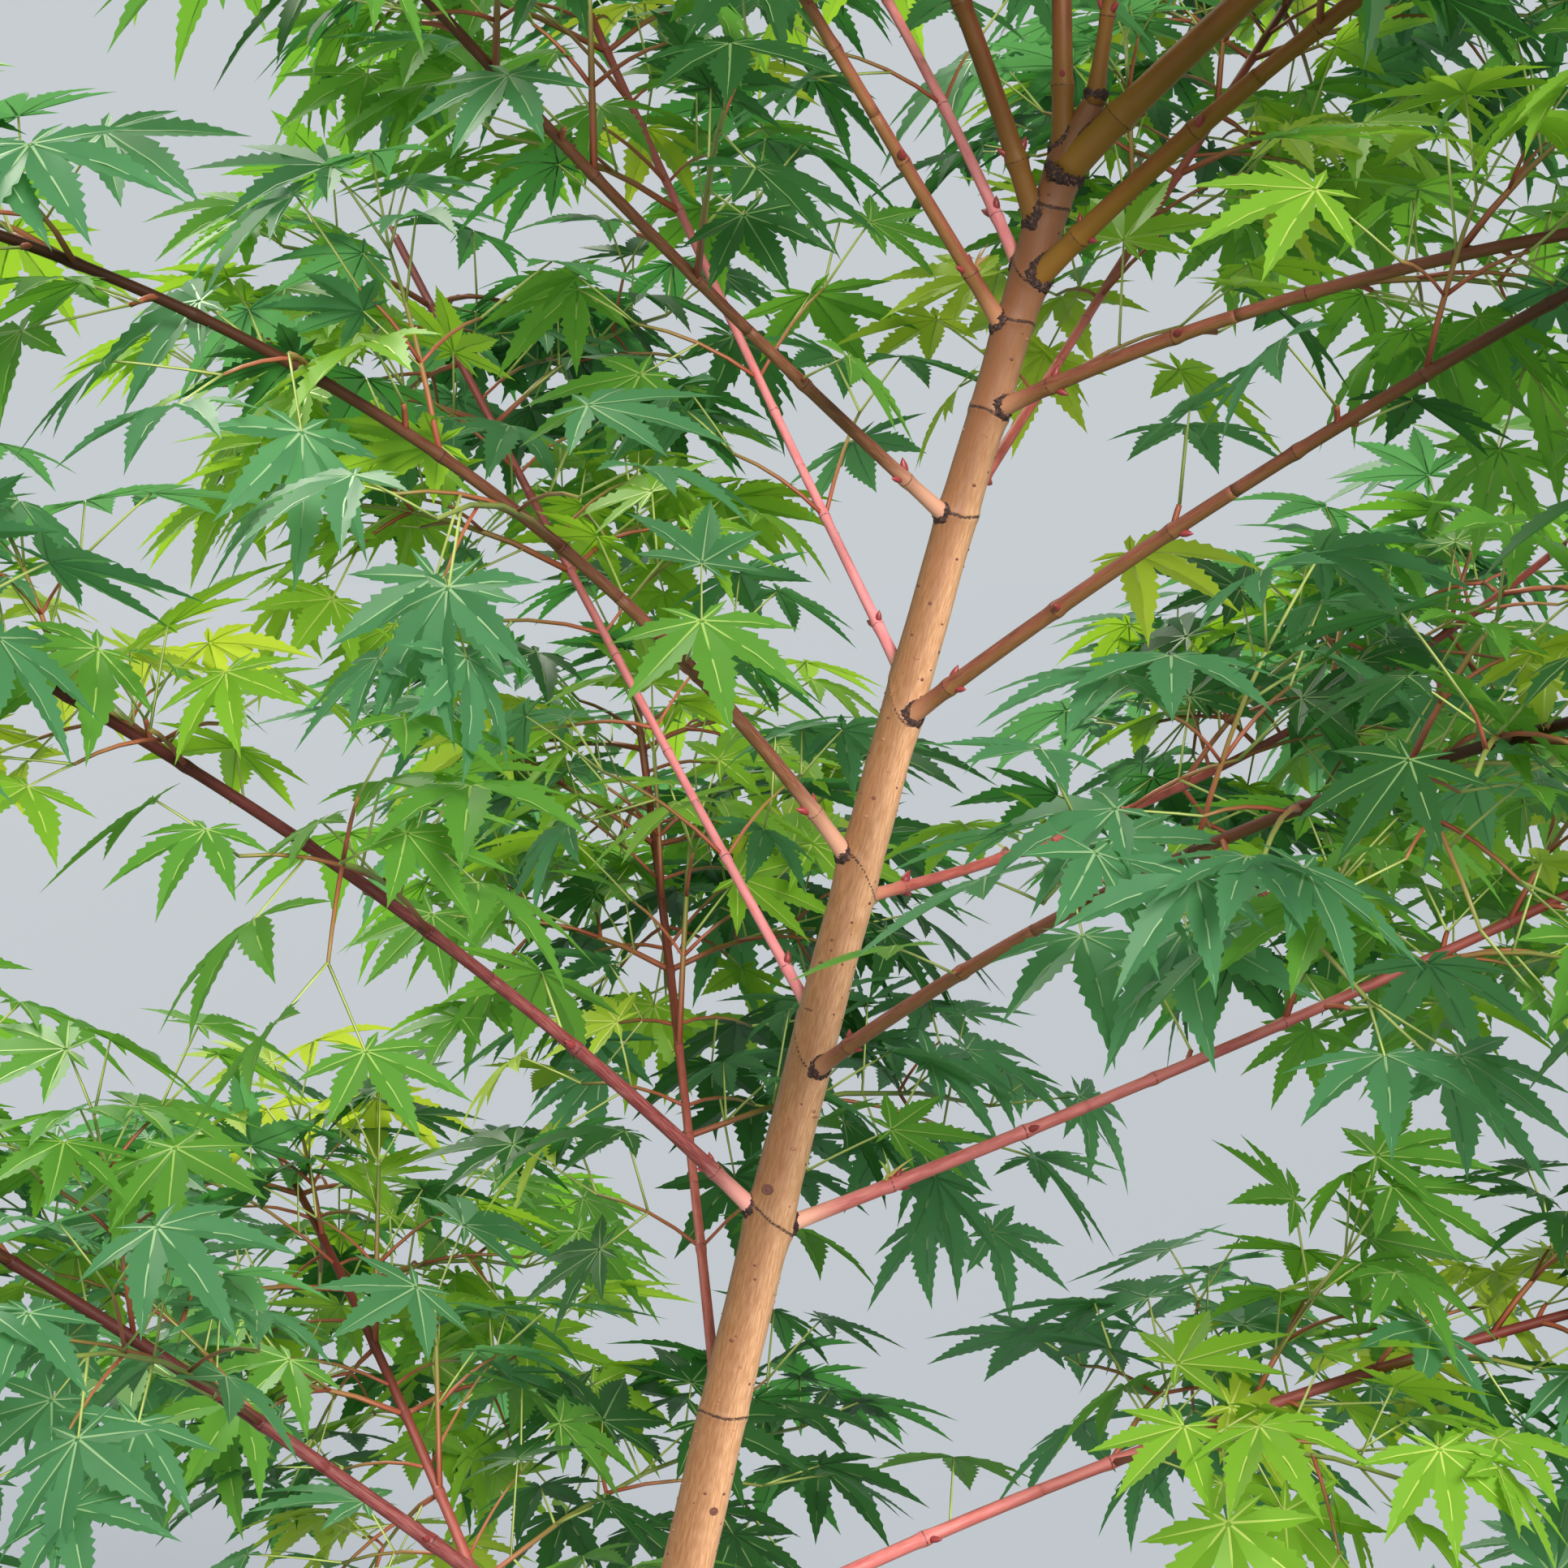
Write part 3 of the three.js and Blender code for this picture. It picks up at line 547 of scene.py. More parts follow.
def direction_of(rise, heading):
    """The unit vectors of a rise above level and a compass heading, in degrees."""
    rise, heading = np.radians(rise), np.radians(heading)
    east, north = np.cos(rise) * np.cos(heading), np.cos(rise) * np.sin(heading)
    return np.stack([east, north, np.sin(rise) * np.ones_like(heading)], axis=-1)


def unit(vectors):
    """The vectors divided by their lengths."""
    return vectors / np.linalg.norm(vectors, axis=-1, keepdims=True)


class GrownLine:
    """A line that starts at a point and bends by a law: direction_at gives its direction at each arc length.
    It runs in short straight steps."""

    def __init__(self, start, length, direction_at):
        """Adds up the steps, each in the direction at its middle."""
        self.direction_at = direction_at
        middles = (np.arange(math.ceil(length / LINE_STEP)) + 0.5) * LINE_STEP
        steps = np.cumsum(direction_at(middles) * LINE_STEP, axis=0)
        self.points = np.concatenate([[start], start + steps])

    def point_at(self, arc):
        """The points at arc lengths, each on the straight step that it falls in."""
        place = np.minimum(np.asarray(arc, float) / LINE_STEP, len(self.points) - 1.001)
        before = np.maximum(np.floor(place).astype(int), 0)
        share = (place - before)[..., None]
        return self.points[before] * (1 - share) + self.points[before + 1] * share


def section_axes(along):
    """The two axes of a limb's section: level to one side of its direction, and upwards across it."""
    heading = np.arctan2(along[..., 1], along[..., 0])
    side = np.stack([-np.sin(heading), np.cos(heading), np.zeros_like(heading)], axis=-1)
    return side, np.cross(along, side)


def outward(turn, side, over):
    """Directions out of a limb at turns round it: cosines of the turns along its side axis and sines along
    its upward one."""
    return np.cos(turn)[..., None] * side + np.sin(turn)[..., None] * over


def limb_points(line, arcs, columns, radius_at):
    """A limb's skin: a circle of points round the line at each arc length, of the radius that radius_at gives
    for the arc length and the turn round the line, with a point on the line at each end."""
    side, over = section_axes(line.direction_at(arcs))
    turns = turns_round(columns)
    radius = radius_at(arcs[:, None], turns[None, :])[..., None]
    rings = line.point_at(arcs)[:, None] + radius * outward(turns, side[:, None], over[:, None])
    return np.concatenate([rings.reshape(-1, 3), line.point_at(arcs[[0, -1]])])


def limb_faces(arcs, columns, length):
    """The faces of a limb's skin, and its UV map: the shares of the way round it and of a length along it."""
    faces, where = skin_faces(len(arcs), columns)
    where[:, 1] = arcs[np.rint(where[:, 1] * (len(arcs) - 1)).astype(int)] / length
    return faces, where


def trunk_direction(height):
    """The trunk's way at a height. Its lean nears one value soon above the soil, a second one comes on by the
    square of the height, and the stub at its tip leans further. It rises by one for each unit of length, so
    that lengths along the trunk are heights above the soil."""
    lean = TRUNK_LEAN * (1 - np.exp(-height / TRUNK_LEAN_GROWTH))
    lean = lean + TRUNK_EXTRA_LEAN * (height / TRUNK_LENGTH) ** 2
    lean = np.radians(lean + np.where(height > TRUNK_LENGTH, STUB_LEAN, 0))
    return np.stack([np.tan(lean), np.zeros_like(lean), np.ones_like(lean)], axis=-1)


def trunk_radius(height):
    """The solid trunk's radius without its flare: straight tapers between its foot, middle, tip and stub."""
    return np.interp(height, [0, TRUNK_MIDDLE, TRUNK_LENGTH, TRUNK_TOP],
                     [TRUNK_FOOT_RADIUS, TRUNK_MIDDLE_RADIUS, TRUNK_TIP_RADIUS, STUB_TIP_RADIUS])


trunk_foot = np.array([0, 0, SOIL_LEVEL + CLEARANCE])
trunk_line = GrownLine(trunk_foot, TRUNK_TOP + 2 * LINE_STEP, trunk_direction)


def grown_bough(row, lift):
    """A bough by the names of its sizes, with the line it follows from the middle of the trunk."""
    bough = dict(zip(BOUGH_SIZES, row))
    foot = trunk_line.point_at(bough["up"]) + lift * direction_of(bough["rise"], bough["heading"])

    def bough_direction(arc):
        """Its rise and its heading change evenly along it."""
        rise = bough["rise"] + bough["bend"] * arc / 100
        return direction_of(rise, bough["heading"] + bough["turn"] * arc / 100)

    bough["end"] = bough["bare"] + bough["leafy"]
    bough["line"] = GrownLine(foot, bough["end"], bough_direction)
    return bough


boughs = [grown_bough(row, 0) for row in BOUGHS] + [grown_bough(LEADER, LEADER_LIFT)]


def foot_underside(bough):
    """The height at which a ring passes by the lower side of a bough's foot, on the trunk's skin."""
    rise = math.radians(bough["rise"])
    drop = trunk_radius(bough["up"]) * math.sin(rise) - bough["radius"] - RING_GAP
    return bough["up"] + drop / math.cos(rise)


def ring_heights():
    """Each ring as its middle height, how far it tips and towards which turn. Boughs that share a number
    share a ring, which passes by the lower side of the foot of each."""
    rings = []
    for number in sorted({bough["name"][:2] for bough in boughs[:-1]}):
        group = [bough for bough in boughs if bough["name"].startswith(number)]
        lows = [foot_underside(bough) for bough in group]
        highest = int(np.argmax(lows))
        middle = np.mean(lows)
        rings.append((middle, lows[highest] - middle, math.radians(group[highest]["heading"] - 90)))
    return rings


trunk_rings = ring_heights()


def ring_distance(height, turn):
    """How far from the nearest ring a point of the trunk is, in millimetres along the trunk. A ring is a
    tipped circle that wavers once and three times round."""
    nearest = np.full(np.broadcast(height, turn).shape, FAR_FROM_RING)
    for middle, tip, heading in trunk_rings:
        ring = middle + tip * np.cos(turn - heading) + RING_WAVERS[0] * np.sin(turn + middle)
        ring = ring + RING_WAVERS[1] * np.sin(3 * turn + 2 * middle)
        nearest = np.minimum(nearest, np.abs(height - ring))
    return nearest


def turn_from(bough, turn):
    """How far a turn round the trunk is from a bough's heading, up to half a turn to either side."""
    return (turn - math.radians(bough["heading"] - 90) + np.pi) % (2 * np.pi) - np.pi


def trunk_skin_radius(height, turn):
    """The solid trunk's radius, with a low ridge at each ring, a knee of bark under each bough's foot and a
    slow waver."""
    ridges = 1 + FLARE_RIDGE_DEPTH * np.sin(FLARE_RIDGES * turn)
    radius = trunk_radius(height) + FLARE * ridges * np.exp(-height / FLARE_HEIGHT)
    away = ring_distance(height, turn)
    radius = radius + RING_RISE * np.exp(-(away / RING_WIDTH) ** 2)
    radius = radius - 0.5 * RING_RISE * np.exp(-(away / RING_GROOVE) ** 2)
    for bough in boughs[:-1]:
        beside = turn_from(bough, turn) * trunk_radius(height) / KNEE_REACH[0]
        above = (height - bough["up"] - KNEE_ABOVE) / KNEE_REACH[1]
        radius = radius + KNEE_RISE * np.exp(-beside ** 2 - above ** 2) * min(1, bough["radius"] / 3)
    waver = TRUNK_WAVER * np.sin(height / WAVER_LENGTHS[0] + 2 * turn)
    return radius + waver * np.sin(height / WAVER_LENGTHS[1] + turn)


def trunk_arcs():
    """Heights of the trunk's rings of points: even steps, and finer ones close to each dark ring."""
    even = np.arange(0, TRUNK_TOP, TRUNK_RING_STEP)
    near = [middle + np.arange(-abs(tip) - RING_REACH, abs(tip) + RING_REACH, RING_STEP)
            for middle, tip, _ in trunk_rings]
    heights = np.unique(np.round(np.concatenate([even, *near, [TRUNK_TOP]]), 2))
    return heights[heights <= TRUNK_TOP]


def bark_colour(tree, round_along, tone, painted_light):
    """Young bark seen close: fine fibres along the stem in two tans, under slow clouds of a warmer pink, all
    darkened as a painted shade. One side has paler tans instead, as painted light."""
    fibres = noise(tree, stretched(tree, round_along, (1.5, 0.16, 1)), scale=1.0, detail=4, roughness=0.6)
    clouds = noise(tree, stretched(tree, round_along, (0.08, 0.035, 1)), scale=1.0, detail=3)
    streaked = ranged(tree, fibres, 0.36, 0.66)
    pink = computed(tree, "ADD", ranged(tree, clouds, 0.45, 0.75, 0, 0.4), tone)
    shaded_bark = blended(tree, pink, blended(tree, streaked, PAINTED_SHADE_TAN, PAINTED_SHADE_PALE), PAINTED_SHADE_PINK)
    lit_bark = blended(tree, streaked, PAINTED_LIGHT_TAN, PAINTED_LIGHT_PALE)
    return blended(tree, painted_light, shaded_bark, lit_bark), fibres


def ragged_ring(tree, round_along, distance, half_width):
    """The share of dark ring at a point: full within a ragged half width of the ring, none beyond it."""
    rough = noise(tree, stretched(tree, round_along, (0.8, 1.6, 1)), scale=1.0, detail=5, roughness=0.75)
    edge = computed(tree, "ADD", distance, computed(tree, "MULTIPLY", rough, RING_RAGGED))
    return ranged(tree, edge, half_width + RING_EDGE[0], half_width + RING_EDGE[1], 0, RING_DARKEST)


def mark_value(tree, mark):
    """The value of one of a piece's marks."""
    return add_node(tree, "Attribute", attribute_name=mark).outputs["Fac"]


def trunk_material():
    """Apricot bark that is pinker towards the tip and duller at the foot, with ragged dark rings and a
    painted shade over the top. Painted light on one side goes by the cosine of the turn from it, and the rest
    by the share of the way up."""
    material, tree, shader = new_material("trunk_bark", 0.5)
    where = add_node(tree, "UVMap", uv_map="skin").outputs["UV"]
    round_along = stretched(tree, where, (TRUNK_GIRTH, TRUNK_TOP, 1))
    turn, up, _ = add_node(tree, "SeparateXYZ", {"Vector": where}).outputs
    # Painted light: paler bark on one side of the trunk, fading with the cosine of the turn from it
    from_light = computed(tree, "MULTIPLY", computed(tree, "SUBTRACT", turn, PAINTED_LIGHT_TURN), 2 * math.pi)
    painted_light = ranged(tree, computed(tree, "COSINE", from_light, 0.0), -0.35, 0.75)
    colour, fibres = bark_colour(tree, round_along, ranged(tree, up, 0.72, 1.0, 0, 0.5), painted_light)
    old = noise(tree, stretched(tree, round_along, (0.35, 0.09, 1)), scale=1.0, detail=5, roughness=0.65)
    # Painted shade: the top of the trunk turns darker
    colour = blended(tree, ranged(tree, up, 0.83, 0.94, 0, 0.88), colour, PAINTED_TOP_SHADE)
    low_down = ranged(tree, up, 0.34, 0.0, 0, 1.0)
    aged = computed(tree, "MULTIPLY", low_down, ranged(tree, old, 0.35, 0.65, 0.25, 1.0))
    colour = blended(tree, aged, colour, BARK_OLD)
    ring = ragged_ring(tree, round_along, mark_value(tree, "ring"), 0.5)
    painted(tree, shader, blended(tree, ring, colour, BARK_RING))
    shader.inputs["Specular IOR Level"].default_value = 0.35
    grooved = computed(tree, "SUBTRACT", fibres, computed(tree, "MULTIPLY", ring, 0.8))
    relief(tree, shader, grooved, distance=0.16, strength=0.8)
    return material


arcs = trunk_arcs()
trunk_points = limb_points(trunk_line, arcs, TRUNK_COLUMNS, trunk_skin_radius)
trunk_faces, trunk_where = limb_faces(arcs, TRUNK_COLUMNS, TRUNK_TOP)
distances = ring_distance(arcs[:, None], turns_round(TRUNK_COLUMNS)[None, :]).ravel()
new_piece("trunk_bark", trunk_points, trunk_faces, [trunk_material()], where=trunk_where,
          marks={"ring": np.append(distances, 2 * [FAR_FROM_RING])}, replaced=["trunk"])

# Lenticels
# Brown corky pores dot the trunk's bark. Some are drawn out into short level dashes, and a few round scars
# show where small twigs fell.
PORE_COUNT = 380
PORE_SEED = 11
PORE_RADII = (0.36, 0.80)
PORE_POWER = 1.5
PORE_HEIGHT = 0.26
PORE_STRETCHES = (0.9, 1.5)
PORES_FROM = 60
PORES_OFF_TIP = 6
PORES_OFF_RING = 3.5
PORES_OFF_BOUGH = 5
PALE_SHARE = 0.4
DASH_COUNT = 10
DASH_STRETCH = 4.5
DASH_RADIUS = 0.42
SCAR_STRETCH = 1.1
SCAR_PROUD = 0.45
PORE_PROFILE = [(1.0, -0.25), (0.85, 0.45), (0.45, 0.9)]
SCAR_PROFILE = [(1.0, -0.6), (0.95, 0.7), (0.8, 1.0), (0.66, 0.5), (0.5, 0.35), (0.36, 0.8), (0.2, 1.0)]
PORE_COLUMNS = 8
PORE_DARK = (0.17, 0.060, 0.042)
PORE_PALE = (0.40, 0.17, 0.10)
SCAR_BROWN = (0.16, 0.060, 0.045)

# Each scar: its height up the trunk, its compass heading and its radius
SCARS = [(545, -114, 1.9), (438, -60, 1.5), (662, 100, 1.7), (168, -95, 2.1), (330, 40, 1.8)]


def on_trunk(height, turn):
    """Places on the trunk's skin, with its outward, level and upward directions there."""
    along = trunk_line.direction_at(height)
    side, over = section_axes(along)
    out = outward(turn, side, over)
    place = trunk_line.point_at(height) + trunk_skin_radius(height, turn)[:, None] * out
    return place, (out, outward(turn, over, -side), unit(along))


def buttons(place, axes, radius, stretch, proud, profile):
    """Small round knobs on a surface, from a profile of (radius, height) shares carried round its outward
    direction, each with its own radius, level stretch and height."""
    out, level, up = (axis[:, None] for axis in axes)
    turns = turns_round(PORE_COLUMNS)
    radii, heights = np.array(profile).T
    wide = np.append((radii[:, None] * np.cos(turns)).ravel(), [0, 0])
    high = np.append((radii[:, None] * np.sin(turns)).ravel(), [0, 0])
    raised = np.append(np.repeat(heights, PORE_COLUMNS), heights[[0, -1]])
    points = place[:, None] + (radius * stretch)[:, None, None] * wide[:, None] * level
    points += radius[:, None, None] * high[:, None] * up + proud * raised[:, None] * out
    faces = [repeated(each, len(wide), len(place)) for each in skin_faces(len(profile), PORE_COLUMNS)[0]]
    return points.reshape(-1, 3), faces


def joined(parts):
    """Several sets of points and faces as one, with each part's number for each of its faces."""
    starts = np.cumsum([0] + [len(points) for points, _ in parts])
    faces = [face + start for start, (_, sets) in zip(starts, parts) for face in sets]
    kinds = [np.full(len(face), number) for number, (_, sets) in enumerate(parts) for face in sets]
    return np.concatenate([points for points, _ in parts]), faces, np.concatenate(kinds)


def pore_places(random):
    """Random places on the trunk that keep off its dark rings and the feet of its boughs. Three times as many
    are drawn as are kept."""
    height = random.uniform(PORES_FROM, TRUNK_LENGTH - PORES_OFF_TIP, 3 * PORE_COUNT)
    turn = random.uniform(0, 2 * np.pi, 3 * PORE_COUNT)
    free = ring_distance(height, turn) > PORES_OFF_RING
    for bough in boughs[:-1]:
        beside = turn_from(bough, turn) * trunk_radius(height)
        above = height - bough["up"] - KNEE_ABOVE
        free &= np.hypot(beside, above) > bough["radius"] + PORES_OFF_BOUGH
    return height[free][:PORE_COUNT], turn[free][:PORE_COUNT]


random = np.random.default_rng(PORE_SEED)
height, turn = pore_places(random)
size = random.uniform(*PORE_RADII, len(height)) ** PORE_POWER
dashes = np.arange(len(height)) < DASH_COUNT
stretch = np.where(dashes, DASH_STRETCH, random.uniform(*PORE_STRETCHES, len(height)))
size = np.where(dashes, DASH_RADIUS, size)
pale = random.uniform(0, 1, len(height)) < PALE_SHARE
parts = []
for chosen in (~pale, pale):
    place, axes = on_trunk(height[chosen], turn[chosen])
    parts.append(buttons(place, axes, size[chosen], stretch[chosen], PORE_HEIGHT, PORE_PROFILE))
scar_height, scar_heading, scar_size = np.array(SCARS).T
place, axes = on_trunk(scar_height, np.radians(scar_heading - 90))
parts.append(buttons(place, axes, scar_size, np.full(len(SCARS), SCAR_STRETCH), SCAR_PROUD, SCAR_PROFILE))
points, faces, kinds = joined(parts)
corky = {"pore_dark": PORE_DARK, "pore_pale": PORE_PALE, "twig_scar": SCAR_BROWN}
corky = [new_material(name, 0.8, colour)[0] for name, colour in corky.items()]
new_piece("lenticels", points, faces, corky, kinds=kinds)

# Boughs
# Smooth shoots of coral-red bark that grow out of the trunk in pairs. They are tan where they leave it, swell
# at each joint, and have a thin dark ring there.
BOUGH_TAPER = 0.82
COLLAR_SWELL = 1.3
COLLAR_REACH = 9
STEM_TIP_RADIUS = 1.6
FIRST_PAIR = 26
PAIR_SPACING = 53
PAIR_SPACING_AT_TIP = 30
FIRST_JOINT = 27
FIRST_JOINT_OF = {"05_right": 46}
JOINT_SPACING = 57
JOINT_SWELL = 0.17
JOINT_REACH = 2.4
BOUGH_COLUMNS = 20
BOUGH_RING_STEP = 4
JOINT_RING_STEPS = (-4, -2.6, -1.6, -0.9, -0.45, 0, 0.45, 0.9, 1.6, 2.6, 4)
BOUGH_START = 2
LEADER_START = -2
OUT_FROM = 90
OUT_TO = 330
BOUGH_GIRTH = 17
BOUGH_BARK_LENGTH = 450

# Each tone of bark: its colour near the trunk, its two shades beyond that, its underside's colour, its colour
# far out, and how far the first one reaches
BARK_TONES = {
    "coral": {"near": (0.66, 0.26, 0.17), "far": (0.50, 0.120, 0.108), "dark": (0.34, 0.060, 0.054),
              "under": (0.36, 0.080, 0.062), "out": (0.17, 0.030, 0.024), "reach": 24},
    "rose": {"near": (0.88, 0.46, 0.34), "far": (0.68, 0.19, 0.19), "dark": (0.48, 0.085, 0.090),
             "under": (0.50, 0.120, 0.115), "out": (0.17, 0.030, 0.024), "reach": 24},
    "crimson": {"near": (0.84, 0.38, 0.34), "far": (0.19, 0.025, 0.029), "dark": (0.12, 0.013, 0.015),
                "under": (0.15, 0.022, 0.022), "out": (0.075, 0.012, 0.009), "reach": 26},
    "pink": {"near": (0.72, 0.35, 0.26), "far": (0.78, 0.27, 0.31), "dark": (0.68, 0.17, 0.20),
             "under": (0.58, 0.150, 0.160), "out": (0.30, 0.055, 0.050), "reach": 14},
    "tan": {"near": (0.70, 0.36, 0.25), "far": (0.17, 0.048, 0.025), "dark": (0.12, 0.028, 0.014),
            "under": (0.16, 0.066, 0.022), "out": (0.052, 0.015, 0.006), "reach": 34},
    "brown": {"near": (0.58, 0.26, 0.145), "far": (0.29, 0.080, 0.052), "dark": (0.19, 0.045, 0.026),
              "under": (0.24, 0.112, 0.036), "out": (0.056, 0.018, 0.007), "reach": 18},
    # The olive and umber tones are the bark's olive browns, darkened further as a painted shade high in the
    # crown
    "olive": {"near": (0.29, 0.135, 0.022), "far": (0.29, 0.090, 0.018), "dark": (0.21, 0.062, 0.012),
              "under": (0.22, 0.115, 0.010), "out": (0.17, 0.052, 0.011), "reach": 50},
    "umber": {"near": (0.23, 0.100, 0.022), "far": (0.17, 0.044, 0.016), "dark": (0.12, 0.030, 0.010),
              "under": (0.13, 0.052, 0.009), "out": (0.085, 0.022, 0.007), "reach": 50},
}

# The boughs of each tone, apart from the coral ones
BOUGH_TONES = {
    "rose": ["01_right", "02_front", "03_right", "05_right"],
    "crimson": ["01_left", "03_left", "05_left"],
    "pink": ["06_back_left", "08_back_left", "12_back_left"],
    "tan": ["07_left", "09_left"],
    "brown": ["06_front_right", "08_right", "10_right", "11_left"],
    # The highest boughs, whose tones carry a painted shade
    "olive": ["12_right", "14_right"],
    "umber": ["13_left", "14_up", "15_top"],
}


def pair_arcs(bough):
    """Where the pairs of shoots stand on a bough's leafy stem. Their spacing shrinks evenly to its tip."""
    arc, arcs = bough["bare"] + FIRST_PAIR, []
    while arc < bough["end"] - PAIR_SPACING_AT_TIP:
        arcs.append(arc)
        share = (arc - bough["bare"]) / bough["leafy"]
        arc += PAIR_SPACING + (PAIR_SPACING_AT_TIP - PAIR_SPACING) * share
    return np.array(arcs)


def joint_arcs(bough):
    """Where the joints stand on a bough's bare part: evenly, up to its first pair of shoots."""
    first_pair = bough["bare"] + FIRST_PAIR
    first_joint = FIRST_JOINT_OF.get(bough["name"], FIRST_JOINT)
    count = round((first_pair - first_joint) / JOINT_SPACING)
    return np.linspace(first_joint, first_pair, count + 1)[:-1]


def all_joints(bough):
    """Where the joints stand on the whole of a bough."""
    return np.concatenate([joint_arcs(bough), pair_arcs(bough)])


def joint_distance(bough, arc):
    """How far from the nearest joint a place on a bough is, in millimetres along the bough."""
    return np.abs(np.asarray(arc)[..., None] - all_joints(bough)).min(axis=-1)


def bough_radius(bough, arc):
    """The solid bough's radius and its leafy stem's, with a swelling at each joint and one at the trunk."""
    radii = [bough["radius"], bough["radius"] * BOUGH_TAPER, STEM_TIP_RADIUS]
    radius = np.interp(arc, [0, bough["bare"], bough["end"]], radii)
    swell = JOINT_SWELL * np.exp(-(joint_distance(bough, arc) / JOINT_REACH) ** 2)
    return radius * (1 + swell) + COLLAR_SWELL * np.exp(-arc / COLLAR_REACH)


def limb_skin(bough, start, end, columns):
    """A bough's skin between two arc lengths, with its UV map and three marks: the arc length, how far under
    the bough a point is, and its distance from a joint. Rings of points are closer together at each joint."""
    joints = all_joints(bough)
    near = (joints[:, None] + np.array(JOINT_RING_STEPS)).ravel()
    even = np.arange(start, end, BOUGH_RING_STEP)
    even = even[np.abs(even[:, None] - joints).min(axis=1) > JOINT_RING_STEPS[-1]]
    arcs = np.unique(np.concatenate([[start, end], even, near[(near > start) & (near < end)]]))
    points = limb_points(bough["line"], arcs, columns, lambda arc, turn: bough_radius(bough, arc) + 0 * turn)
    faces, where = limb_faces(arcs, columns, bough["end"])
    lowness = 0.5 - 0.5 * np.sin(turns_round(columns))
    marks = {
        "arc": np.append(np.repeat(arcs, columns), [start, end]),
        "under": np.append(np.tile(lowness, len(arcs)), [0.5, 0.5]),
        "ring": np.append(np.repeat(joint_distance(bough, arcs), columns), 2 * [FAR_FROM_RING]),
    }
    return points, faces, where, marks


def coral_material(name, near, far, dark, under, out, reach):
    """Young bark: one colour by the trunk, two shades beyond it with another below, and a darker one far out,
    with fine streaks and a thin ring at each joint."""
    material, tree, shader = new_material(name, 0.5)
    shader.inputs["Specular IOR Level"].default_value = 0.3
    where = add_node(tree, "UVMap", uv_map="skin").outputs["UV"]
    round_along = stretched(tree, where, (BOUGH_GIRTH, BOUGH_BARK_LENGTH, 1))
    fibres = noise(tree, stretched(tree, round_along, (2.2, 0.12, 1)), scale=1.0, detail=4, roughness=0.6)
    clouds = noise(tree, stretched(tree, round_along, (0.22, 0.05, 1)), scale=1.0, detail=4)
    arc, below, distance = (mark_value(tree, mark) for mark in ("arc", "under", "ring"))
    ragged = computed(tree, "ADD", arc, computed(tree, "MULTIPLY", clouds, 0.4 * reach))
    shaded = computed(tree, "ADD", below, computed(tree, "MULTIPLY", clouds, 0.5))
    colour = blended(tree, ranged(tree, clouds, 0.38, 0.68), far, dark)
    colour = blended(tree, ranged(tree, shaded, 0.65, 1.05, 0, 0.9), colour, under)
    colour = blended(tree, ranged(tree, fibres, 0.35, 0.75, 0, 0.25), colour, near)
    colour = blended(tree, ranged(tree, ragged, 0.5 * reach, 1.5 * reach), near, colour)
    colour = blended(tree, ranged(tree, arc, OUT_FROM, OUT_TO), colour, out)
    ring = ragged_ring(tree, round_along, distance, 0.22)
    painted(tree, shader, blended(tree, ring, colour, BARK_RING))
    relief(tree, shader, fibres, distance=0.08, strength=0.6)
    return material


young_barks = {tone: coral_material(tone + "_bark", **colours) for tone, colours in BARK_TONES.items()}
for bough in boughs:
    bough["tone"] = next((tone for tone, names in BOUGH_TONES.items() if bough["name"] in names), "coral")
    start = LEADER_START if bough["up"] > TRUNK_LENGTH else BOUGH_START
    points, faces, where, marks = limb_skin(bough, start, bough["bare"], BOUGH_COLUMNS)
    new_piece("bark_" + bough["name"], points, faces, [young_barks[bough["tone"]]],
              where=where, marks=marks, replaced=["bough_" + bough["name"]])

# Collars
# Where a bough leaves the trunk its bark has split and healed over, as a dark scaly crust round the bough's
# foot. It is thickest under the bough and at its sides.
CRUST_STEPS = 64
CRUST_SIDES = 10
CRUST_HEIGHT = 0.85
CRUST_WIDTH = 1.75
CRUST_ROUGHNESS = 0.45
CRUST_SEED = 3
CRUST_LEAST = 0.50
CRUST_MORE_UNDER = 0.38
CRUST_MORE_BESIDE = 0.2
CRUST_SWELLS = (0.22, 0.16)
CRUST_SIZES = (0.5, 0.2)
CRUST_LARGEST = 1.25
LEADER_CRUST_ARC = 1.5
CRUST_DARK = (0.040, 0.020, 0.020)
CRUST_PALE = (0.26, 0.12, 0.085)
MEETING_STEP = 0.25
MEETING_REACH = 45


def square_to(vectors, along):
    """What is left of vectors without their parts along a unit direction."""
    return vectors - (vectors * along).sum(-1, keepdims=True) * along


def meeting_curve(bough):
    """The closed curve where a bough's skin comes out of the trunk's, with the outward directions of both
    skins. At each turn round the bough it is the first place along it that lies outside the trunk."""
    arcs = np.arange(0, MEETING_REACH, MEETING_STEP)
    turns = turns_round(CRUST_STEPS)
    out = outward(turns[:, None], *section_axes(bough["line"].direction_at(arcs)))
    skin = bough["line"].point_at(arcs) + bough_radius(bough, arcs)[:, None] * out
    height = skin[..., 2] - trunk_foot[2]
    along = unit(trunk_line.direction_at(height))
    away = square_to(skin - trunk_line.point_at(height), along)
    trunk_side, trunk_over = section_axes(along)
    turn = np.arctan2((away * trunk_over).sum(-1), (away * trunk_side).sum(-1))
    first = (np.linalg.norm(away, axis=-1) > trunk_skin_radius(height, turn)).argmax(axis=1)
    each = np.arange(CRUST_STEPS)
    return skin[each, first], unit(away[each, first]), out[each, first], turns


def leader_foot():
    """The circle round the leading shoot's foot, in the same form as a meeting curve."""
    leader, turns = boughs[-1], turns_round(CRUST_STEPS)
    out = outward(turns, *section_axes(leader["line"].direction_at(LEADER_CRUST_ARC)))
    curve = leader["line"].point_at(LEADER_CRUST_ARC) + bough_radius(leader, LEADER_CRUST_ARC) * out
    return curve, out, out, turns


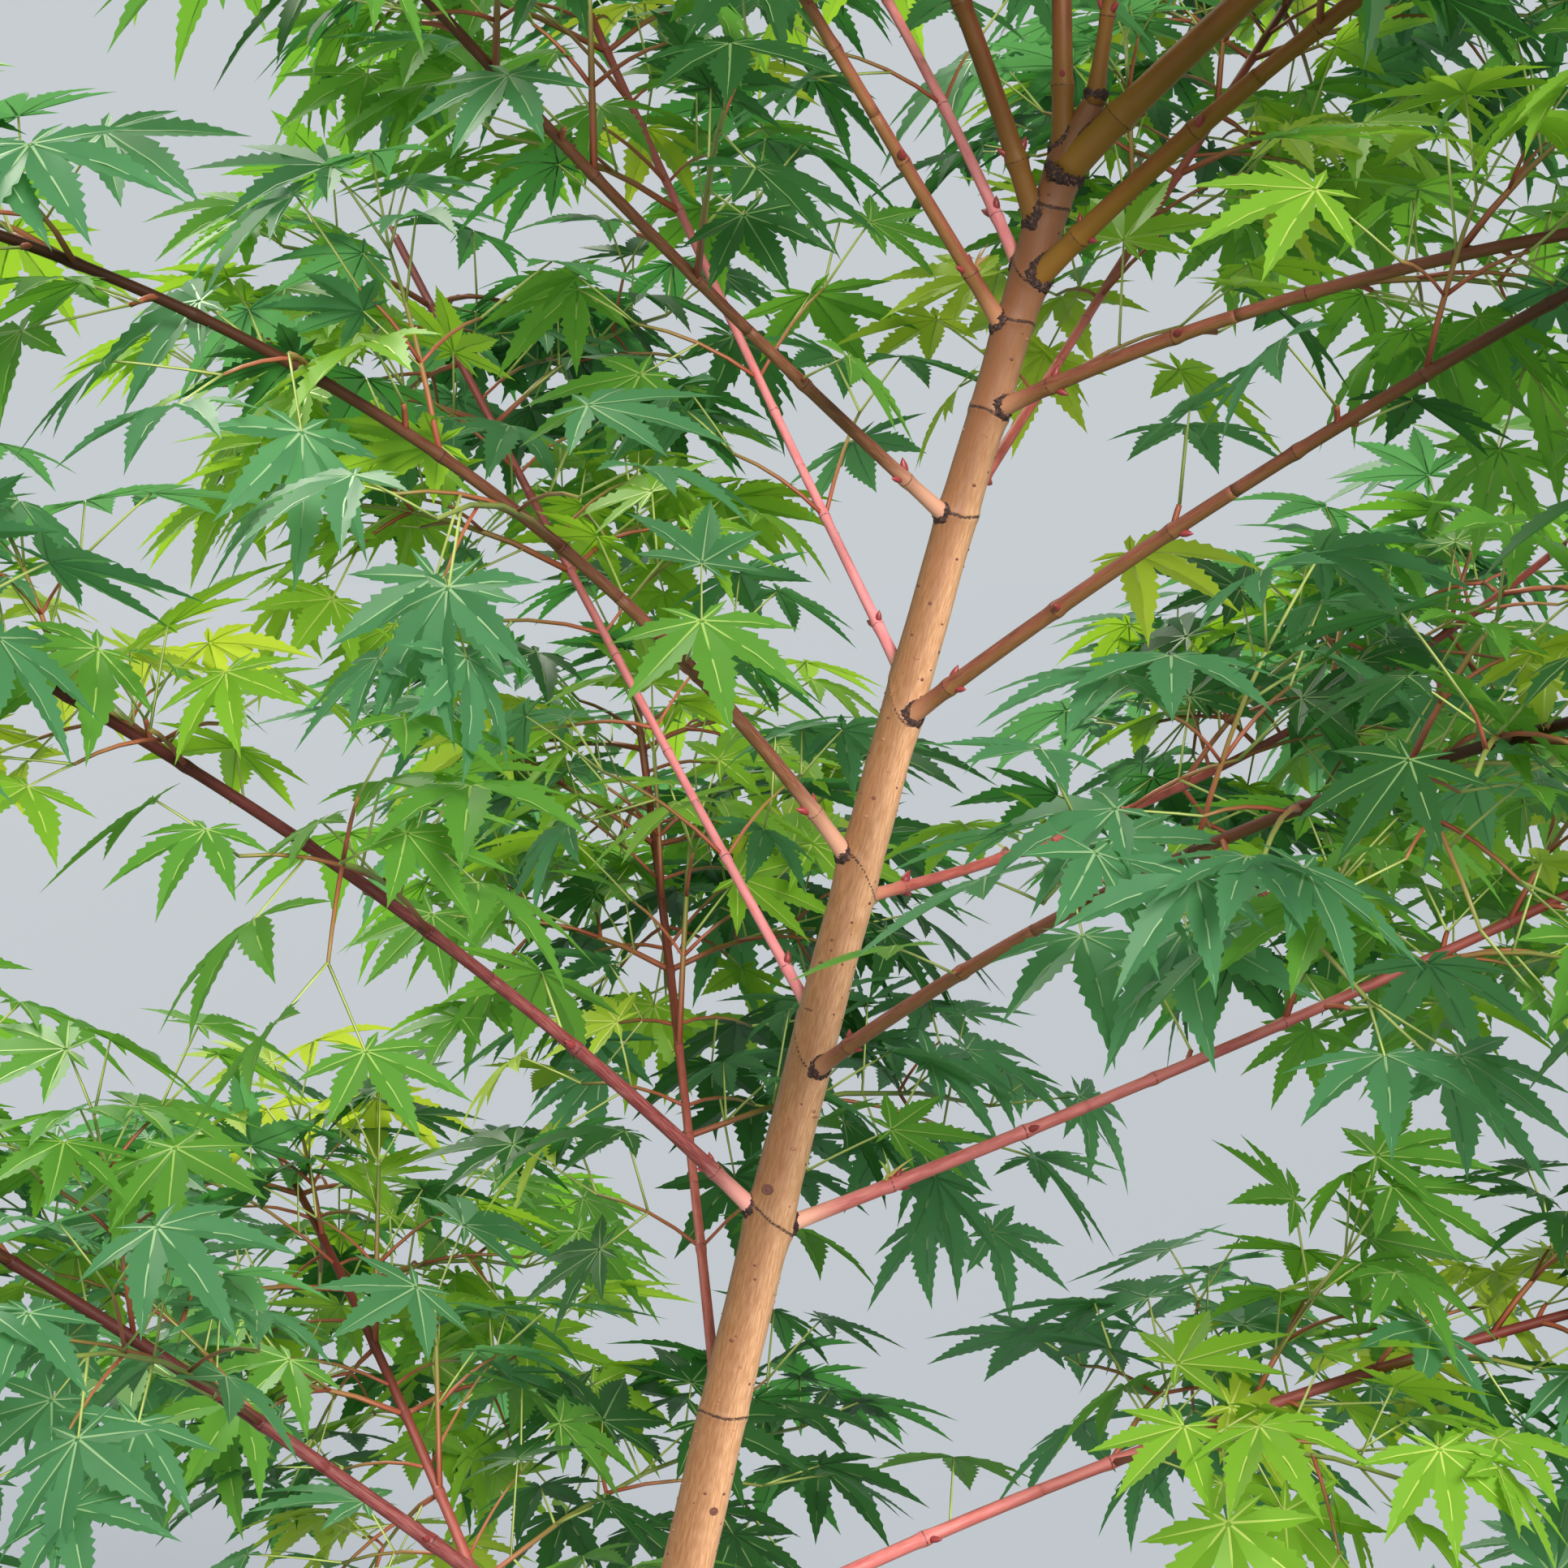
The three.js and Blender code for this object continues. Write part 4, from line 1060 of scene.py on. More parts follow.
def crust(bough, random):
    """A closed band along the meeting curve. Its section is a flat oval, wider under the bough and at its
    sides, that swells three and seven times round and is rough at random."""
    curve, trunk_out, bough_out, turns = meeting_curve(bough) if bough["up"] < TRUNK_LENGTH else leader_foot()
    tangent = unit(np.roll(curve, -1, axis=0) - np.roll(curve, 1, axis=0))
    rise = unit(square_to(trunk_out + bough_out, tangent))
    across = np.cross(tangent, rise)
    wide = CRUST_LEAST + CRUST_MORE_UNDER * (0.5 - 0.5 * np.sin(turns))
    wide = wide + CRUST_MORE_BESIDE * np.cos(turns) ** 2
    start = random.uniform(0, 2 * np.pi)
    swell = 1 + CRUST_SWELLS[0] * np.sin(3 * turns + start)
    wide = wide * (swell + CRUST_SWELLS[1] * np.sin(7 * turns + 2 * start))
    sections = turns_round(CRUST_SIDES)
    rough = 1 + CRUST_ROUGHNESS * random.uniform(-1, 1, (CRUST_STEPS, CRUST_SIDES))
    by_radius = CRUST_SIZES[0] + CRUST_SIZES[1] * bough["radius"]
    size = (wide * min(CRUST_LARGEST, by_radius))[:, None] * rough
    points = curve[:, None] + (CRUST_WIDTH * size * np.cos(sections))[..., None] * across[:, None]
    points += (CRUST_HEIGHT * size * np.sin(sections))[..., None] * rise[:, None]
    step, section = np.divmod(np.arange(CRUST_STEPS * CRUST_SIDES), CRUST_SIDES)
    onward, beside = (step + 1) % CRUST_STEPS, (section + 1) % CRUST_SIDES
    quads = np.stack([step * CRUST_SIDES + section, step * CRUST_SIDES + beside,
                      onward * CRUST_SIDES + beside, onward * CRUST_SIDES + section], axis=1)
    return points.reshape(-1, 3), [quads]


def crust_material():
    """Scaly crust: near-black purple browns with paler edges and a rough relief."""
    material, tree, shader = new_material("crust", 0.85)
    scales = noise(tree, object_place(tree), scale=900, detail=5, roughness=0.75)
    painted(tree, shader, blended(tree, ranged(tree, scales, 0.50, 0.66), CRUST_DARK, CRUST_PALE))
    relief(tree, shader, scales, distance=0.5)
    return material


random = np.random.default_rng(CRUST_SEED)
points, faces, _ = joined([crust(bough, random) for bough in boughs])
new_piece("bark_collars", points, faces, [crust_material()])

# Growth
# The shoots of each mass grow by the solids' rule: pairs along the stem, level and upright by turns, each
# kept to its own stem's space and clear of limbs and of leaves before it.
SHOOT_SPREAD = 52
SHOOT_RADIUS = 1
SHOOT_SHORTENING = 0.62
PAIR_SHARES = (1, 0.5, 0.6, 0.5)
SHOOT_DROOP = 8
LEAF_LENGTH = 66
LEAF_LOBES = ((-104, 0.56), (-52, 0.86), (0, 1), (52, 0.86), (104, 0.56))
LEAF_STALK = 16
LEAF_DROOP = 0.16
LEAF_HANG = 24
LEAF_TILT = 35
LOBE_HALF_WIDTH = 6
STEM_LAP = 6
ROLL_VARIES = 20
SPREAD_VARIES = 8
SHOOT_VARIES = 0.15
HANG_VARIES = 15
LEAF_VARIES = 0.12
STEEPEST_FALL = 70
SPACE_MARGIN = 3
LIMB_MARGIN = 2
LEAF_MARGIN = 3
SHOOT_ROOT = 0.1
STRETCH = 30
TRIES = 4
SEED_FACTOR = 2654435761
DRAW_FACTOR = 1664525
DRAW_STEP = 1013904223
DRAW_RANGE = 2 ** 32
LEAST_SQUARE = 1e-9
LEAST_SPAN = 1e-6


def seeded(seed):
    """Evenly spread random numbers from 0 to 1, the same for the same seed."""
    state = seed * SEED_FACTOR % DRAW_RANGE

    def draw():
        """The next number: the last state times a factor, plus a step, wrapped round at the range."""
        nonlocal state
        state = (state * DRAW_FACTOR + DRAW_STEP) % DRAW_RANGE
        return state / DRAW_RANGE
    return draw


def stretches_of(line, start, end):
    """A line between two arc lengths as short straight stretches."""
    ends = line.point_at(np.linspace(start, end, math.ceil((end - start) / STRETCH) + 1))
    return np.stack([ends[:-1], ends[1:]], axis=1)


def distance_between(first, second):
    """The shortest distance between straight stretches, given as arrays of pairs of ends: between the nearest
    points of the two lines, each kept to its own stretch."""
    along, other = first[..., 1, :] - first[..., 0, :], second[..., 1, :] - second[..., 0, :]
    apart = first[..., 0, :] - second[..., 0, :]
    along_square = (along * along).sum(-1) + LEAST_SQUARE
    other_square = (other * other).sum(-1) + LEAST_SQUARE
    mixed = (along * other).sum(-1)
    from_first, from_second = (along * apart).sum(-1), (other * apart).sum(-1)
    span = along_square * other_square - mixed * mixed
    guess = (mixed * from_second - other_square * from_first) / np.maximum(span, LEAST_SPAN)
    guess = np.where(span > LEAST_SPAN, np.clip(guess, 0, 1), 0)
    on_second = np.clip((mixed * guess + from_second) / other_square, 0, 1)
    on_first = np.clip((mixed * on_second - from_first) / along_square, 0, 1)
    return np.linalg.norm(apart + on_first[..., None] * along - on_second[..., None] * other, axis=-1)


stems = [stretches_of(bough["line"], bough["bare"], bough["end"]) for bough in boughs]
stem_starts = np.cumsum([0] + [len(stem) for stem in stems[:-1]])
stem_stretches = np.concatenate(stems)
limb_stretches = [stretches_of(bough["line"], 0, bough["bare"]) for bough in boughs]
limb_radii = [np.full(len(ends), bough["radius"]) for bough, ends in zip(boughs, limb_stretches)]
limb_stretches.append(stretches_of(trunk_line, 0, TRUNK_TOP))
limb_radii.append(np.full(len(limb_stretches[-1]), TRUNK_FOOT_RADIUS))
limb_stretches, limb_radii = np.concatenate(limb_stretches), np.concatenate(limb_radii)


def fits(owner, stretches, half_width):
    """True where stretches keep to their own stem's space and clear of every bough and the trunk."""
    kept = half_width + LIMB_MARGIN + limb_radii
    if not (distance_between(stretches[:, None], limb_stretches[None]) > kept).all():
        return False
    points = np.concatenate([stretches[:, 0], stretches.mean(axis=1), stretches[:, 1]])
    away = distance_between(np.stack([points, points], axis=1)[:, None], stem_stretches[None])
    away = np.minimum.reduceat(away, stem_starts, axis=1)
    own = away[:, owner:owner + 1]
    return bool((np.delete(away, owner, axis=1) > own + SPACE_MARGIN).all())


def sideways(along, roll, spread):
    """A direction turned out to one side: roll 0 is level, 90 is up and 180 is level on the other side."""
    out = outward(np.radians(roll), *section_axes(along))
    spread = np.radians(spread)[..., None]
    return unit(np.cos(spread) * along + np.sin(spread) * out)


def lowered(way, angle):
    """Directions lowered towards the ground by an angle in degrees, at most to the steepest fall."""
    rise = np.degrees(np.arctan2(way[..., 2], np.hypot(way[..., 0], way[..., 1]))) - angle
    heading = np.degrees(np.arctan2(way[..., 1], way[..., 0]))
    return direction_of(np.maximum(rise, -STEEPEST_FALL), heading)


def blade_axes(middle, tilt):
    """A blade's three axes from its middle line: along it, across it and out of its upper side."""
    level = unit(np.stack([-middle[..., 1], middle[..., 0], np.zeros(middle.shape[:-1])], axis=-1))
    tilt = np.radians(tilt)[..., None]
    normal = np.cross(middle, level) * np.cos(tilt) + level * np.sin(tilt)
    return middle, np.cross(normal, middle), normal


def solid_lobes(heart, axes, length):
    """The middle lines of a solid leaf's lobes, each from the heart to a tip that droops by the square of the
    lobe's share of the length."""
    middle, across, normal = axes
    angles, shares = np.array(LEAF_LOBES).T
    reach = (shares * length)[:, None]
    tips = reach * outward(np.radians(angles), middle, across) - LEAF_DROOP * reach * shares[:, None] * normal
    return np.stack([np.repeat(heart[None], len(tips), axis=0), heart + tips], axis=1)


def grow_shoots(bough, owner):
    """The shoots of one mass, each as its foot, direction and length. A shoot whose solid leaf finds no room
    is drawn again a few times, and then left out."""
    draw = seeded(owner + 1)
    line, end = bough["line"], bough["end"]

    def varied(reach):
        """A number drawn from minus to plus a reach."""
        return (2 * draw() - 1) * reach

    way = line.direction_at(end)
    heart = line.point_at(end - STEM_LAP) + way * (2 * STEM_LAP + LEAF_STALK)
    lobes = solid_lobes(heart, blade_axes(lowered(way, LEAF_HANG), varied(LEAF_TILT)), LEAF_LENGTH)
    shoots = []
    for pair, arc in enumerate(pair_arcs(bough)):
        foot = line.point_at(arc)
        share = (arc - bough["bare"]) / bough["leafy"]
        reach = bough["shoot"] * (1 - SHOOT_SHORTENING * share) * PAIR_SHARES[pair % len(PAIR_SHARES)]
        for roll in ((90, 270) if pair % 2 else (0, 180)):
            for _ in range(TRIES):
                turned = roll + varied(ROLL_VARIES)
                spread = SHOOT_SPREAD + varied(SPREAD_VARIES)
                way = lowered(sideways(line.direction_at(arc), turned, spread), SHOOT_DROOP)
                length = reach * (1 + varied(SHOOT_VARIES))
                hang = LEAF_HANG + varied(HANG_VARIES)
                leaf = LEAF_LENGTH * (1 + varied(LEAF_VARIES))
                heart = foot + way * (length + LEAF_STALK)
                own = solid_lobes(heart, blade_axes(lowered(way, hang), varied(LEAF_TILT)), leaf)
                free = np.stack([foot + way * length * SHOOT_ROOT, heart])[None]
                clear = distance_between(own[:, None], lobes[None]).min() > LEAF_MARGIN
                if clear and fits(owner, free, SHOOT_RADIUS) and fits(owner, own, LOBE_HALF_WIDTH):
                    shoots.append((foot, way, length))
                    lobes = np.concatenate([lobes, own])
                    break
    return shoots


shoots = [shoot for owner, bough in enumerate(boughs) for shoot in grow_shoots(bough, owner)]

# Stems
# The leafy part of each bough goes on from its bare part, thinner and redder towards its end. It has the same
# young bark, with a ring at each pair of shoots.
STEM_COLUMNS = 8
STEM_OVERLAP = 0.5


def joined_skins(skins):
    """Several limb skins as one set of points, faces, UV pairs and marks."""
    points, faces, _ = joined([(points, faces) for points, faces, _, _ in skins])
    where = np.concatenate([where for _, _, where, _ in skins])
    marks = {mark: np.concatenate([marks[mark] for _, _, _, marks in skins]) for mark in skins[0][3]}
    return points, faces, where, marks


foliage_nodes = ["foliage_" + bough["name"] for bough in boughs]
for tone, bark in young_barks.items():
    skins = [limb_skin(bough, bough["bare"] - STEM_OVERLAP, bough["end"], STEM_COLUMNS)
             for bough in boughs if bough["tone"] == tone]
    points, faces, where, marks = joined_skins(skins)
    new_piece("stems_" + tone, points, faces, [bark], where=where, marks=marks,
              replaced=foliage_nodes)

# Branching
# Shoots go on a little past the solid ones and bow under their leaves. The longer ones carry side twigs in
# pairs, and short spurs stand at the boughs' joints and between the pairs of shoots. Spurs are longer on the
# boughs behind, which fill the crown there. A joint without a spur has a bud.
TWIG_SEED = 21
SHOOT_GOES_ON = 16
TWIG_BOW = 0.05
LOOK_AHEAD = 0.02
SIDE_ROLL_VARIES = 25
SIDE_SPREAD = 46
SIDE_SPREAD_VARIES = 8
SIDE_DROOP = 4
SIDE_SHARE = 0.42
SIDE_VARIES = (0.85, 1.25)
SIDE_LEAST = 12
SPUR_FROM = 60
SPUR_CHANCE = 0.62
SPUR_LENGTHS = (5, 14)
SPUR_SPREADS = (30, 55)
SPUR_ROLL_VARIES = 15
REAR_SPUR_LENGTHS = (32, 68)
REAR_HEADINGS = (20, 165)
BETWEEN_PLACE_VARIES = 3
BETWEEN_ROLL_VARIES = 40
BETWEEN_SPREAD = 50
END_SPUR_LENGTH = 10

# Each pair of side twigs: the least length of its shoot, its place on the shoot, and the rolls of its twigs
SIDE_PAIRS = ((50, 0.38, (0, 180)), (80, 0.68, (90, 270)))


class Twig:
    """A thin shoot that bows under its leaves. It has its kind, the number of its spray's first shoot and its
    place on that shoot."""

    def __init__(self, foot, way, length, kind, spray, place=0.0):
        """Keeps its sizes."""
        self.foot, self.way, self.length = foot, way, length
        self.kind, self.spray, self.place = kind, spray, place

    def point_at(self, share):
        """The points at shares of its length: its straight line, raised in the middle and lowered at its end
        by parabolas."""
        share = np.asarray(share, float)[..., None]
        bow = TWIG_BOW * self.length * (4 * share * (1 - share) - share * share)
        return self.foot + share * self.length * self.way + bow * np.array([0, 0, 1])

    def way_at(self, share):
        """The direction at a share of its length, towards a point a little further on."""
        return unit(self.point_at(share + LOOK_AHEAD) - self.point_at(share))


random = np.random.default_rng(TWIG_SEED)
twigs, bud_places, joint_twigs = [], [], []
for foot, way, length in shoots:
    spray = len(twigs)
    shoot = Twig(foot, way, length + SHOOT_GOES_ON, "shoot", spray)
    twigs.append(shoot)
    for least, place, rolls in SIDE_PAIRS:
        if shoot.length < least:
            break
        for roll in rolls:
            turned = roll + random.uniform(-SIDE_ROLL_VARIES, SIDE_ROLL_VARIES)
            spread = SIDE_SPREAD + random.uniform(-SIDE_SPREAD_VARIES, SIDE_SPREAD_VARIES)
            out = lowered(sideways(shoot.way_at(place), turned, spread), SIDE_DROOP)
            reach = SIDE_SHARE * (1 - place) * shoot.length * random.uniform(*SIDE_VARIES) + SIDE_LEAST
            twigs.append(Twig(shoot.point_at(place), out, reach, "side", spray, place))
for bough in boughs:
    line, end = bough["line"], bough["end"]
    rear = REAR_HEADINGS[0] < bough["heading"] < REAR_HEADINGS[1]
    kind, lengths = ("side", REAR_SPUR_LENGTHS) if rear else ("spur", SPUR_LENGTHS)
    for number, arc in enumerate(joint_arcs(bough)):
        foot = line.point_at(arc)
        for roll in ((0, 180) if number % 2 else (90, 270)):
            turned = roll + random.uniform(-SPUR_ROLL_VARIES, SPUR_ROLL_VARIES)
            way = sideways(line.direction_at(arc), turned, random.uniform(*SPUR_SPREADS))
            if arc > SPUR_FROM and roll != 270 and (rear or random.uniform() < SPUR_CHANCE):
                joint_twigs.append((len(twigs), bough["radius"]))
                twigs.append(Twig(foot, way, random.uniform(*lengths), kind, len(twigs)))
            else:
                bud_places.append((foot, way, bough["radius"]))
    for pair in pair_arcs(bough)[:-1]:
        varied = random.uniform(-BETWEEN_PLACE_VARIES, BETWEEN_PLACE_VARIES)
        arc = pair + 0.5 * PAIR_SPACING_AT_TIP + varied
        for roll in (0, 180):
            turned = roll + random.uniform(-BETWEEN_ROLL_VARIES, BETWEEN_ROLL_VARIES)
            way = sideways(line.direction_at(arc), turned, BETWEEN_SPREAD)
            twigs.append(Twig(line.point_at(arc), way, random.uniform(*lengths), kind, len(twigs)))
    twigs.append(Twig(line.point_at(end), line.direction_at(end), END_SPUR_LENGTH, "spur", len(twigs)))

# Leaves
# Each leaf has seven toothed lobes with a pale rib along each, and hangs from a thin pale stalk. They stand
# in opposite pairs along the twigs, and each spray has one green.
LEAF_SPACING = 24
LEAF_FIRST = 16
LEVEL_ROLLS = (0, 180)
UPRIGHT_ROLLS = (70, 290)
LEAF_ROLL_VARIES = 18
LEAF_SPREAD_VARIES = 10
PAIR_SPREAD = 56
END_PAIR_SPREAD = 34
END_LEAF_SPREAD = 8
END_LEAF_FROM = 40
BLADE_LENGTH = 44
BLADE_VARIES = 0.16
BLADE_HANG = 19
BLADE_HANG_VARIES = 21
BLADE_TILT = 32
BLADE_RISE = 0.35
STALK_LENGTHS = (22, 38)
STALK_RISE = 0.6
STALK_HANG = 1.6
STALK_REACH = 0.96
STALK_BEND = 0.9
STALK_STEPS = 4
STALK_SIDES = 3
STALK_RADII = (0.6, 0.42)
STALK_GREEN = (0.42, 0.50, 0.14)
VARIANTS = 12
LOBE_ANGLES = (-128, -84, -42, 0, 42, 84, 128)
LOBE_SHARES = (0.30, 0.62, 0.90, 1, 0.90, 0.62, 0.30)
LOBE_TEETH = (1, 4, 6, 7, 6, 4, 1)
LOBE_PROFILE = ((0.28, 0.46, 0.62, 0.78, 0.9, 1), (0.1075, 0.145, 0.115, 0.062, 0.024, 0))
LOBE_ANGLE_VARIES = 5
LOBE_LENGTHS = (0.93, 1.07)
LOBE_DROOP_VARIES = (-0.07, 0.10)
LOBE_SICKLE = 0.06
FOLDS = (0.14, 0.38)
DROOPS = (0.08, 0.3)
SINUS_SHARE = 0.30
SINUS_FOLD = 0.3
BASE_SINUS = 0.06
BASE_SINUS_TURN = 0.42
TEETH_FROM = 0.40
TEETH_TO = 0.88
ONE_TOOTH = 0.56
TOOTH_OUT = 1.09
TOOTH_IN = 0.82
TOOTH_STEP = 0.022
RIB_SHARES = (0, 0.35, 0.7)
RIB_PLACES = (0.03, 0.5, 0.95)
RIB_HALF_WIDTHS = (0.0095, 0.0057)
RIB_PROUD = 0.006
LIMB_CLEARANCE = 3
TRUNK_KEPT_RADIUS = 8.5
HEART_SPACING = 12
PROBE_STEP = 6
LEAVES_AT_ONCE = 200
BARE_FROM = 20
BARE_TO = 420
BARE_STEP = 12
BARE_MARGIN = 7
BARE_SHARE = 0.8
LEAF_GLOW_SHARE = 0.42
RIB_GLOW_SHARE = 0.2
TINT_SEED = 9
CROWN_FROM = 650
CROWN_TO = 1500

# Each green: the colour of its blades, of the light that comes through them, and of their ribs. Besides the
# leaves' own range of greens, the deep one is partly a painted shade, the blue one partly a painted
# reflection of the sky, and the fresh and lime ones partly painted light shining through.
TINTS = {
    "deep": {"blade": (0.025, 0.092, 0.024), "glow": (0.07, 0.31, 0.05), "rib": (0.20, 0.34, 0.12)},
    "blue": {"blade": (0.078, 0.235, 0.108), "glow": (0.17, 0.50, 0.14), "rib": (0.32, 0.50, 0.26)},
    "mid": {"blade": (0.110, 0.300, 0.045), "glow": (0.25, 0.60, 0.04), "rib": (0.36, 0.54, 0.14)},
    "fresh": {"blade": (0.210, 0.440, 0.035), "glow": (0.46, 0.76, 0.04), "rib": (0.50, 0.64, 0.14)},
    "lime": {"blade": (0.380, 0.550, 0.050), "glow": (0.70, 0.84, 0.06), "rib": (0.62, 0.70, 0.18)},
}

# The share of the sprays that has each green, low in the crown and high in it. The lighter greens are
# dealt more often high up, as painted light.
TINT_SHARES_LOW = (0.24, 0.29, 0.27, 0.14, 0.06)
TINT_SHARES_HIGH = (0.12, 0.17, 0.31, 0.26, 0.14)


def lobe_outline(teeth):
    """The shares along a lobe of its edge's corners, and its half widths there: out at each tooth's point and
    in at the notch ahead of it."""
    points = np.linspace(TEETH_FROM, TEETH_TO, teeth) if teeth > 1 else np.array([ONE_TOOTH])
    shares = np.stack([points, points + TOOTH_STEP], axis=1).ravel()
    widths = np.interp(shares, *LOBE_PROFILE) * np.tile([TOOTH_OUT, TOOTH_IN], teeth)
    return shares, widths


def leaf_blade(random):
    """One blade of unit length with its heart at the origin. Each half of a lobe runs from its rib out to its
    edge, folded up from the rib, and droops by the square of its distance from the heart."""
    count = len(LOBE_ANGLES)
    angles = random.uniform(-LOBE_ANGLE_VARIES, LOBE_ANGLE_VARIES, count)
    angles = np.radians(np.array(LOBE_ANGLES) + angles)
    lengths = np.array(LOBE_SHARES) * random.uniform(*LOBE_LENGTHS, count)
    fold, droop = random.uniform(*FOLDS), random.uniform(*DROOPS)
    droops = droop + random.uniform(*LOBE_DROOP_VARIES, count)
    sickles = random.uniform(-LOBE_SICKLE, LOBE_SICKLE, count)
    base = [[angles[0] - BASE_SINUS_TURN], [angles[-1] + BASE_SINUS_TURN]]
    turns = np.concatenate([base[0], (angles[1:] + angles[:-1]) / 2, base[1]])
    depths = SINUS_SHARE * np.minimum(lengths[1:], lengths[:-1])
    depths = np.concatenate([[BASE_SINUS], depths, [BASE_SINUS]])
    sinuses = np.stack([depths * np.cos(turns), depths * np.sin(turns), SINUS_FOLD * fold * depths], axis=1)
    rib, rib_places = np.array(RIB_SHARES), np.array(RIB_PLACES)
    points = []
    for lobe in range(count):
        direction = np.array([math.cos(angles[lobe]), math.sin(angles[lobe])])
        beside = np.array([-direction[1], direction[0]])

        def on_lobe(share, width, lift):
            """Points at shares along the lobe and widths off its rib, which bends like a sickle."""
            level = share[:, None] * direction + (sickles[lobe] * share ** 2 + width)[:, None] * beside
            height = fold * np.abs(width) - droops[lobe] * share ** 2 * lengths[lobe] + lift
            return np.column_stack([level * lengths[lobe], height * lengths[lobe]])

        shares, widths = lobe_outline(LOBE_TEETH[lobe])
        tip = on_lobe(np.ones(1), np.zeros(1), 0)
        for way in (-1, 1):
            sinus = sinuses[lobe + (way + 1) // 2][None]
            points += [on_lobe(rib, 0 * rib, 0), tip, sinus, on_lobe(shares, way * widths, 0)]
        half = np.array(RIB_HALF_WIDTHS) / lengths[lobe]
        points += [on_lobe(rib_places[:2], way * half, RIB_PROUD) for way in (-1, 1)]
        points.append(on_lobe(rib_places[2:], np.zeros(1), RIB_PROUD))
    return np.concatenate(points)


def blade_faces():
    """The faces of a blade as corner numbers, sorted by their count of corners, and whether each is a rib's.
    Each half lobe is one toothed face for each stretch of its rib, and each rib is a narrow strip."""
    faces, start = [], 0
    for teeth in LOBE_TEETH:
        rib_shares = np.append(RIB_SHARES, 1)
        edge_shares = np.append(SINUS_SHARE, lobe_outline(teeth)[0])
        ends = np.maximum(np.searchsorted(edge_shares, rib_shares), 1)
        for way in (-1, 1):
            rib = start + np.arange(len(rib_shares))
            edge = start + len(rib_shares) + np.arange(len(edge_shares))
            for stretch, (first, last) in enumerate(zip(ends[:-1], ends[1:])):
                corners = [*rib[stretch:stretch + 2], *edge[first - 1:last][::-1]]
                faces.append((corners[::way], 0))
            start += len(rib) + len(edge)
        faces += [((start, start + 1, start + 3, start + 2), 1), ((start + 1, start + 4, start + 3), 1)]
        start += 2 * len(RIB_HALF_WIDTHS) + 1
    by_corners = {}
    for corners, kind in faces:
        by_corners.setdefault(len(corners), []).append((corners, kind))
    return [tuple(map(np.array, zip(*by_corners[number]))) for number in sorted(by_corners)]


leaf_feet, leaf_ways, leaf_twigs, leaf_shares = [], [], [], []


def add_leaf(number, share, roll, spread):
    """Puts a leaf's foot on a twig, with its stalk turned out to one side."""
    turned = roll + random.uniform(-LEAF_ROLL_VARIES, LEAF_ROLL_VARIES)
    spread = spread + random.uniform(-LEAF_SPREAD_VARIES, LEAF_SPREAD_VARIES)
    leaf_feet.append(twigs[number].point_at(share))
    leaf_ways.append(sideways(twigs[number].way_at(share), turned, spread))
    leaf_twigs.append(number)
    leaf_shares.append(share)


for number, twig in enumerate(twigs):
    pairs = int((twig.length - LEAF_FIRST) / LEAF_SPACING) if twig.kind != "spur" else 0
    for pair in range(pairs):
        for roll in (LEVEL_ROLLS if pair % 2 else UPRIGHT_ROLLS):
            add_leaf(number, 1 - (pair + 1) * LEAF_SPACING / twig.length, roll, PAIR_SPREAD)
    for roll in LEVEL_ROLLS:
        add_leaf(number, 1.0, roll, END_PAIR_SPREAD)
    if twig.kind == "shoot" and twig.length > END_LEAF_FROM:
        add_leaf(number, 1.0, 90, END_LEAF_SPREAD)

feet, ways, leaf_twigs, leaf_shares = map(np.array, (leaf_feet, leaf_ways, leaf_twigs, leaf_shares))
count = len(feet)
stalk_lengths = random.uniform(*STALK_LENGTHS, count)
rises = np.zeros((count, 3))
rises[:, 2] = STALK_RISE * np.clip(1 + STALK_HANG * ways[:, 2], 0, 1)
hearts = feet + STALK_REACH * stalk_lengths[:, None] * unit(ways + rises)
hang = BLADE_HANG + random.uniform(-BLADE_HANG_VARIES, BLADE_HANG_VARIES, count)
middles = lowered(unit(ways * np.array([1, 1, BLADE_RISE])), hang)
axes = np.stack(blade_axes(middles, random.uniform(-BLADE_TILT, BLADE_TILT, count)), axis=1)
sizes = BLADE_LENGTH * random.uniform(1 - BLADE_VARIES, 1 + BLADE_VARIES, count)
variants = random.integers(0, VARIANTS, count)
blades = np.stack([leaf_blade(random) for _ in range(VARIANTS)])
blade_sets = blade_faces()


def blade_points(chosen):
    """The points of the chosen leaves' blades in place."""
    return hearts[chosen, None] + (blades[variants[chosen]] * sizes[chosen, None, None]) @ axes[chosen]


def seen_from_front(points):
    """Where points stand in the photograph's view: right and up in millimetres at the camera's aim, and the
    distance from the camera."""
    onward = np.array([0, math.cos(CAMERA_RISE), -math.sin(CAMERA_RISE)])
    upward = np.array([0, math.sin(CAMERA_RISE), math.cos(CAMERA_RISE)])
    away = points - np.array(camera.location) / MM
    depth = away @ onward
    return np.stack([away[..., 0], away @ upward], axis=-1) * (CAMERA_AWAY / depth)[..., None], depth


bare_arcs = np.arange(BARE_FROM, BARE_TO, BARE_STEP)
bare_points = np.concatenate([bough["line"].point_at(bare_arcs) for bough in boughs])
bare_places, bare_depths = seen_from_front(bare_points)
shown = (np.abs(bare_places) < PICTURE_WIDTH / 2).all(axis=1)
bare_places, bare_depths = bare_places[shown], bare_depths[shown]
kept_radii = np.where(limb_radii == TRUNK_FOOT_RADIUS, TRUNK_KEPT_RADIUS, limb_radii)


def hides_bough(leaves):
    """True for each leaf with a point that stands before a bough which the photograph shows bare."""
    places, depths = seen_from_front(leaves)
    near = np.linalg.norm(places[:, :, None] - bare_places, axis=3) < BARE_MARGIN
    return (near & (depths[:, :, None] < bare_depths - BARE_MARGIN)).any(axis=(1, 2))


